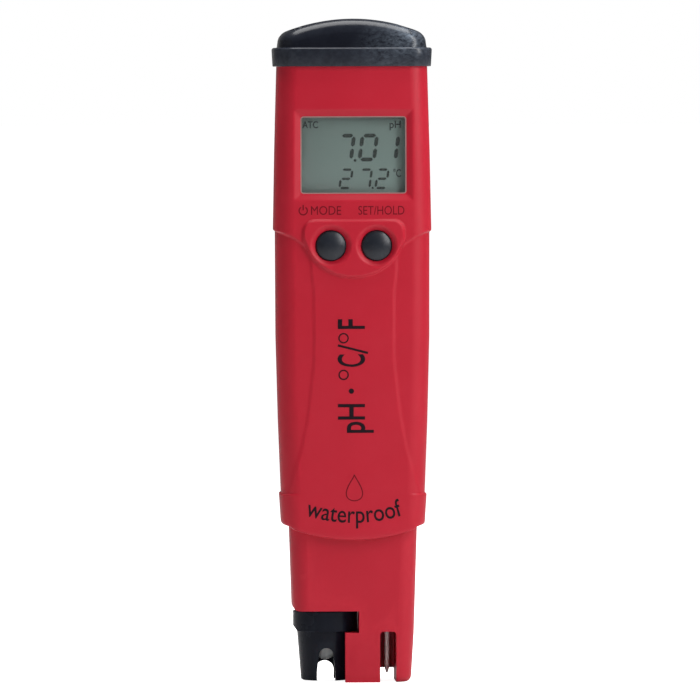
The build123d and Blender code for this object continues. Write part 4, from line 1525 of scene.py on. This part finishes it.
def letters(text, left, right, baseline, cap_height, weight=0.0):
    """Words in the built-in font, fitted between two ends and to a capital's height."""
    def flat(words):
        curve = bpy.data.curves.new("words", "FONT")
        curve.body = words
        curve.resolution_u = 6
        curve.offset = weight
        holder = object_of("words", curve)
        bpy.context.view_layer.update()
        graph = bpy.context.evaluated_depsgraph_get()
        mesh = bpy.data.meshes.new_from_object(holder.evaluated_get(graph))
        points = np.array([v.co[:2] for v in mesh.vertices])
        faces = [list(p.vertices) for p in mesh.polygons]
        bpy.data.objects.remove(holder)
        bpy.data.curves.remove(curve)
        bpy.data.meshes.remove(mesh)
        return points, faces

    points, faces = flat(text)
    capital = flat("H")[0][:, 1].max()
    low, high = points[:, 0].min(), points[:, 0].max()
    points[:, 0] = left + (points[:, 0] - low) * (right - left) / (high - low)
    points[:, 1] = baseline + points[:, 1] * cap_height / capital
    return [(points, faces)]


print("faces in a word:", len(letters("pH", 0, 1, 0, 1)[0][1]))

# %% [markdown]
# ## Thin solids from flat figures
# A figure becomes real when it has a thickness. Its points are placed on the surface, its
# faces are extruded, and the copies drop to a second surface just behind, so that ink or a
# segment is a closed film that exports as it looks. A drawing projected onto the case would
# be simpler, but it blurs close up.

# %% Thin solids from flat figures
PRINT_SHARP = math.radians(20)


def raised(name, figures, place, front, back, material):
    """Turns flat figures into thin solids. place maps a figure's plane onto x, z of the object.

    front and back give y at (x, z) for the two faces of the solid.
    """
    form = bmesh.new()
    for points, faces in figures:
        x, z = place(*np.asarray(points, float).T)
        tops = [form.verts.new((a, front(a, b), b)) for a, b in zip(x, z)]
        for face in faces:
            if len(set(face)) > 2:
                form.faces.new([tops[i] for i in face])
    bmesh.ops.remove_doubles(form, verts=form.verts, dist=1e-5)
    grown = bmesh.ops.extrude_face_region(form, geom=form.faces[:], use_keep_orig=True)
    for vert in (item for item in grown["geom"] if isinstance(item, bmesh.types.BMVert)):
        vert.co.y = back(vert.co.x, vert.co.z)
    bmesh.ops.recalc_face_normals(form, faces=form.faces)
    bmesh.ops.scale(form, vec=(MM, MM, MM), verts=form.verts)
    mesh = bpy.data.meshes.new(name)
    form.to_mesh(mesh)
    form.free()
    return finished(object_of(name, mesh), material, "case", sharp=PRINT_SHARP)


print("edges of printing stay crisp above", round(math.degrees(PRINT_SHARP)), "degrees")

# %% [markdown]
# ## The lens's rim, a painted highlight
# The cut edge of a clear lens scatters light, which shows as a thin pale line between the
# display and its red frame. Modelling that scatter inside the glass is slow to render. A fine
# closed ribbon with a dull pinkish finish paints that line on as a highlight, the same from every
# side.

# %% Painted highlight on the lens's rim
RIM_Y, RIM_DEPTH = -10.84, 0.08
RIM_WIDTH, RIM_INSET = 0.22, 0.32
# Dull pinkish finish of a painted highlight: light scattered at the lens's edge.
RIM_HIGHLIGHT_PAINT = moulded(
    "painted_rim_highlight",
    colour=(0.30, 0.12, 0.12),
    drift=(0.42, 0.22, 0.21),
    worn_and_highlit=(0.50, 0.34, 0.32),
    dusty=(0.45, 0.30, 0.28),
    gloss=(0.35, 0.55),
    ripple=(0.4, 0.01),
)


def beside_window(u, v):
    """Places a figure about the window's middle."""
    return u, v + WINDOW_Z


rim = rounded_rectangle(WINDOW_WIDTH - RIM_INSET, WINDOW_HEIGHT - RIM_INSET, 0.6)
raised(
    "window_rim_painted_highlight", ribbon(rim, RIM_WIDTH, True), beside_window,
    lambda x, z: RIM_Y, lambda x, z: RIM_Y + RIM_DEPTH, RIM_HIGHLIGHT_PAINT,
)

# %% [markdown]
# ## The reading on the display
# The display reads a pH of 7.01 above a temperature of 27.2 °C, with the unit signs in its
# corners. Places are measured from the opening's top left corner, as they are on a display
# maker's drawing. The figures are one mesh that stands a hair proud of the polariser.

# %% The reading on the display
DISPLAY_LEFT, DISPLAY_TOP = -WINDOW_WIDTH / 2 - 0.4, WINDOW_Z + WINDOW_HEIGHT / 2
FIGURE_PROUD, FIGURE_SUNK = 0.025, 0.01
LARGE = [("7", 9.6, 4.1), ("0", 14.85, 4.5), ("1", 20.2, 4.4)]  # digit, left, width
SMALL = [("2", 10.0), ("7", 14.75), ("2", 18.85)]
DOTS = [(13.85, -10.85, 0.36), (18.15, -17.6, 0.26)]
SIGNS = [  # text, left, right, baseline, height of a capital
    ("ATC", 0.9, 4.8, -2.9, 1.7),
    ("pH", 22.3, 25.1, -2.9, 1.8),
    ("°C", 23.2, 25.1, -14.9, 1.9),
]


def on_display(u, v):
    """Places a figure measured from the opening's left edge and down from its top."""
    return DISPLAY_LEFT + u, DISPLAY_TOP + v


reading = []
for digit, left, width in LARGE:
    reading += segment_digit(digit, left, -4.3, width, 6.8, 0.95)
for digit, left in SMALL:
    reading += segment_digit(digit, left, -12.8, 3.2, 5.1, 0.6)
for dot in DOTS:
    reading += disc(*dot)
for sign in SIGNS:
    reading += letters(*sign, 0.02)
raised(
    "display_figures", reading, on_display,
    lambda x, z: POLARISER_FRONT - FIGURE_PROUD, lambda x, z: POLARISER_FRONT + FIGURE_SUNK,
    LCD_DARK,
)

# %% [markdown]
# ## Printing on the case
# Units, key names and a splash-proof mark are pad-printed in ink a few hundredths of a
# millimetre thick. The flat figures are wrapped onto the case with the same size formula and
# relief that shaped it, so the ink follows the bowed face and stands just proud of it.

# %% Ink and the surface under it
INK_FILM = {
    "gloss": (0.5, 0.65), "ripple": (0.3, 0.006), "wear": 0.15, "dust": 0.08,
    "Specular_IOR_Level": 0.12,
}
INK = moulded(
    "printing_ink",
    colour=(0.0045, 0.0030, 0.0060),
    drift=(0.0080, 0.0045, 0.0085),
    worn_and_highlit=(0.05, 0.008, 0.012),
    dusty=(0.07, 0.010, 0.015),
    **INK_FILM,
)
RED_INK = moulded(
    "dark_red_ink",
    colour=(0.105, 0.0035, 0.0090),
    drift=(0.130, 0.0045, 0.0110),
    worn_and_highlit=(0.30, 0.012, 0.02),
    dusty=(0.25, 0.015, 0.025),
    **INK_FILM,
)
INK_PROUD, INK_SUNK = 0.03, 0.05


def face_of(stations, x, z):
    """y of one outline's bowed face."""
    width, depth = size_at(stations, z)
    radius = ((width - CHEEK) ** 2 + CROWN**2) / (2 * CROWN)
    return radius - depth - np.sqrt(radius**2 - x**2)


def front_at(x, z):
    """y of the finished front face."""
    y = face_of(SLEEVE, x, z)
    y = y + (face_of(SKIRT, x, z) - y) * step(SKIRT_TOP - z, SKIRT_RAMP)
    y = y + (face_of(BLOCK, x, z) - y) * step(bib_distance(x, z), BLOCK_RAMP)
    return float(relief(np.float64(x), y, np.float64(z)))


def printed(name, figures, place, ink=INK):
    """Ink on the case's front."""
    return raised(
        name, figures, place,
        lambda x, z: front_at(x, z) - INK_PROUD, lambda x, z: front_at(x, z) + INK_SUNK, ink,
    )


print("front at the middle of the sleeve, y in mm:", round(front_at(0.0, 75.0), 2))

# %% [markdown]
# The units run up the sleeve, so they are laid out as a line of text and turned: the reading
# direction becomes height. The slash and the degree rings are ribbons, because the font's
# own ones are heavier than the letters beside them.

# %% Units, read from the side
CAPITAL = 6.5
UNIT_MIDDLE = 2.5  # x of the baseline
UNIT_WORDS = [("pH", 61.5, 68.6, 0.014), ("C", 77.7, 80.8, 0.012), ("F", 87.0, 89.4, 0.014)]
MIDDLE_DOT = (71.75, 3.2, 0.66)
SLASH = [(81.1, -0.9), (83.0, CAPITAL)]
DEGREE_PLACES, DEGREE_HEIGHT, DEGREE_RADIUS = (75.75, 84.75), 5.1, 1.12


def upright(u, v):
    """Text that runs up the pen: u is the height, v points to the left."""
    return UNIT_MIDDLE - v, u


units = disc(*MIDDLE_DOT) + ribbon(SLASH, 0.55, False)
for word, start, end, weight in UNIT_WORDS:
    units += letters(word, start, end, 0.0, CAPITAL, weight)
for place in DEGREE_PLACES:
    units += ribbon(circle(place, DEGREE_HEIGHT, DEGREE_RADIUS, 24), 0.34, True)
printed("units_print", units, upright)

# %% [markdown]
# A drop and a word on the skirt say that the tester may get wet. The drop's outline is one
# formula, round below and pointed above. The word follows the skirt's curved edge: its
# baseline is an arc, and every letter turns with it.

# %% Water mark: a drop, and a word along an arc
DROP_WIDTH, DROP_HEIGHT, DROP_MIDDLE, DROP_POINT = 2.0, 3.2, 48.05, 1.6  # half sizes
WORD_ARC, WORD_HEIGHT = 40.0, 39.45


def straight(u, v):
    """Text placed as it is measured."""
    return u, v


def along_arc(u, v):
    """Text whose baseline rises towards both ends."""
    angle = u / WORD_ARC
    return (WORD_ARC - v) * np.sin(angle), WORD_HEIGHT + WORD_ARC - (WORD_ARC - v) * np.cos(angle)


turns = np.linspace(0, FULL_TURN, 48, endpoint=False)
swell = np.sin(turns) * np.abs(np.sin(turns / 2)) ** DROP_POINT
outline = [DROP_WIDTH * swell / swell.max(), DROP_MIDDLE + DROP_HEIGHT * np.cos(turns)]
printed("drop_print", ribbon(np.stack(outline, 1), 0.26, True), straight, RED_INK)
printed("waterproof_print", letters("waterproof", -12.3, 12.2, 0.0, 4.2, 0.006), along_arc)

# %% [markdown]
# Each key has its name above it in a darker red, and the power sign stands before the first.
# The sign is a ring with a gap at its top and a short bar in the gap, both ribbons. The words
# are small, so the font's own weight is kept: thickening would close the letters.

# %% Key names
POWER_X, POWER_Z, POWER_RADIUS, POWER_LINE = -12.4, 116.0, 1.0, 0.3
POWER_GAP = (125, 415)  # degrees where the ring starts and ends
KEY_NAMES = [("MODE", -10.5, -3.1), ("SET/HOLD", 1.1, 12.4)]
NAME_BASELINE, NAME_HEIGHT = 115.0, 2.1

start, end = (math.radians(angle) for angle in POWER_GAP)
ring = arc((POWER_X, POWER_Z), POWER_RADIUS, start, end, 30)
bar = [(POWER_X, POWER_Z + 0.1), (POWER_X, POWER_Z + 1.4)]
names = ribbon(ring, POWER_LINE, False) + ribbon(bar, POWER_LINE, False)
for word, left, right in KEY_NAMES:
    names += letters(word, left, right, NAME_BASELINE, NAME_HEIGHT)
printed("key_names_print", names, straight, RED_INK)

# %% [markdown]
# ## Parts that keep their engineering shape
# The probe housing and the electrode have no blended surfaces, so their engineering shape is
# right as it is, and so are the screws, cells, tray, board and seals. They only get finishes.
# Most stay out of sight until the cap is lifted.

# %% Finishes for the parts that stay
FINISHES = {
    SEAL: [
        "window_seal", "zebra_strips", "cap_gasket", "housing_seal", "electrode_seal",
        "sensor_grommet",
    ],
    LCD_GREY: ["lcd_glass"],
    WHITE: ["lcd_frame", "probe_connector"],
    BOARD: ["main_board"],
    STEEL: ["board_screws", "battery_springs", "battery_link"],
    BLACKENED: ["cap_screws"],
    STEEL_WITH_PAINTED_SHEEN: ["sensor_tube"],
    EPOXY: [
        "controller_chip", "board_parts", "mode_contact_pill", "hold_contact_pill", "thermistor",
    ],
    RUBBER: ["keypad_web"],
    GREY: ["battery_tray", "electrode_socket"],
    WIRE: ["battery_leads", "probe_leads"],
    BRASS: ["brass_inserts", "electrode_contacts", "socket_rings"],
    NICKEL: ["button_cell_1", "button_cell_2", "button_cell_3", "button_cell_4"],
    GLASS: ["glass_bulb"],
    CERAMIC: ["reference_junction"],
    SILVER: ["silver_wire"],
    RED: ["probe_housing"],
    BLACK: ["electrode_body"],
}
for finish, nodes in FINISHES.items():
    for node in nodes:
        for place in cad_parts[node].material_slots:
            place.material = finish
print("parts that keep their shape:", sum(len(nodes) for nodes in FINISHES.values()))

# %% [markdown]
# ## Sizes
# The engineering model's box and the finished model's box are printed side by side. The
# finished model has to stay inside the engineering model's box.

# %% Measure and finish
sizes = {"cad": cad_box, "visual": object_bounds()}
for name, box in sizes.items():
    sizes[name] = [[float(value) for value in corner] for corner in box]
for name, (low_corner, high_corner) in sizes.items():
    print(name, [round((b - a) / MM, 2) for a, b in zip(low_corner, high_corner)])
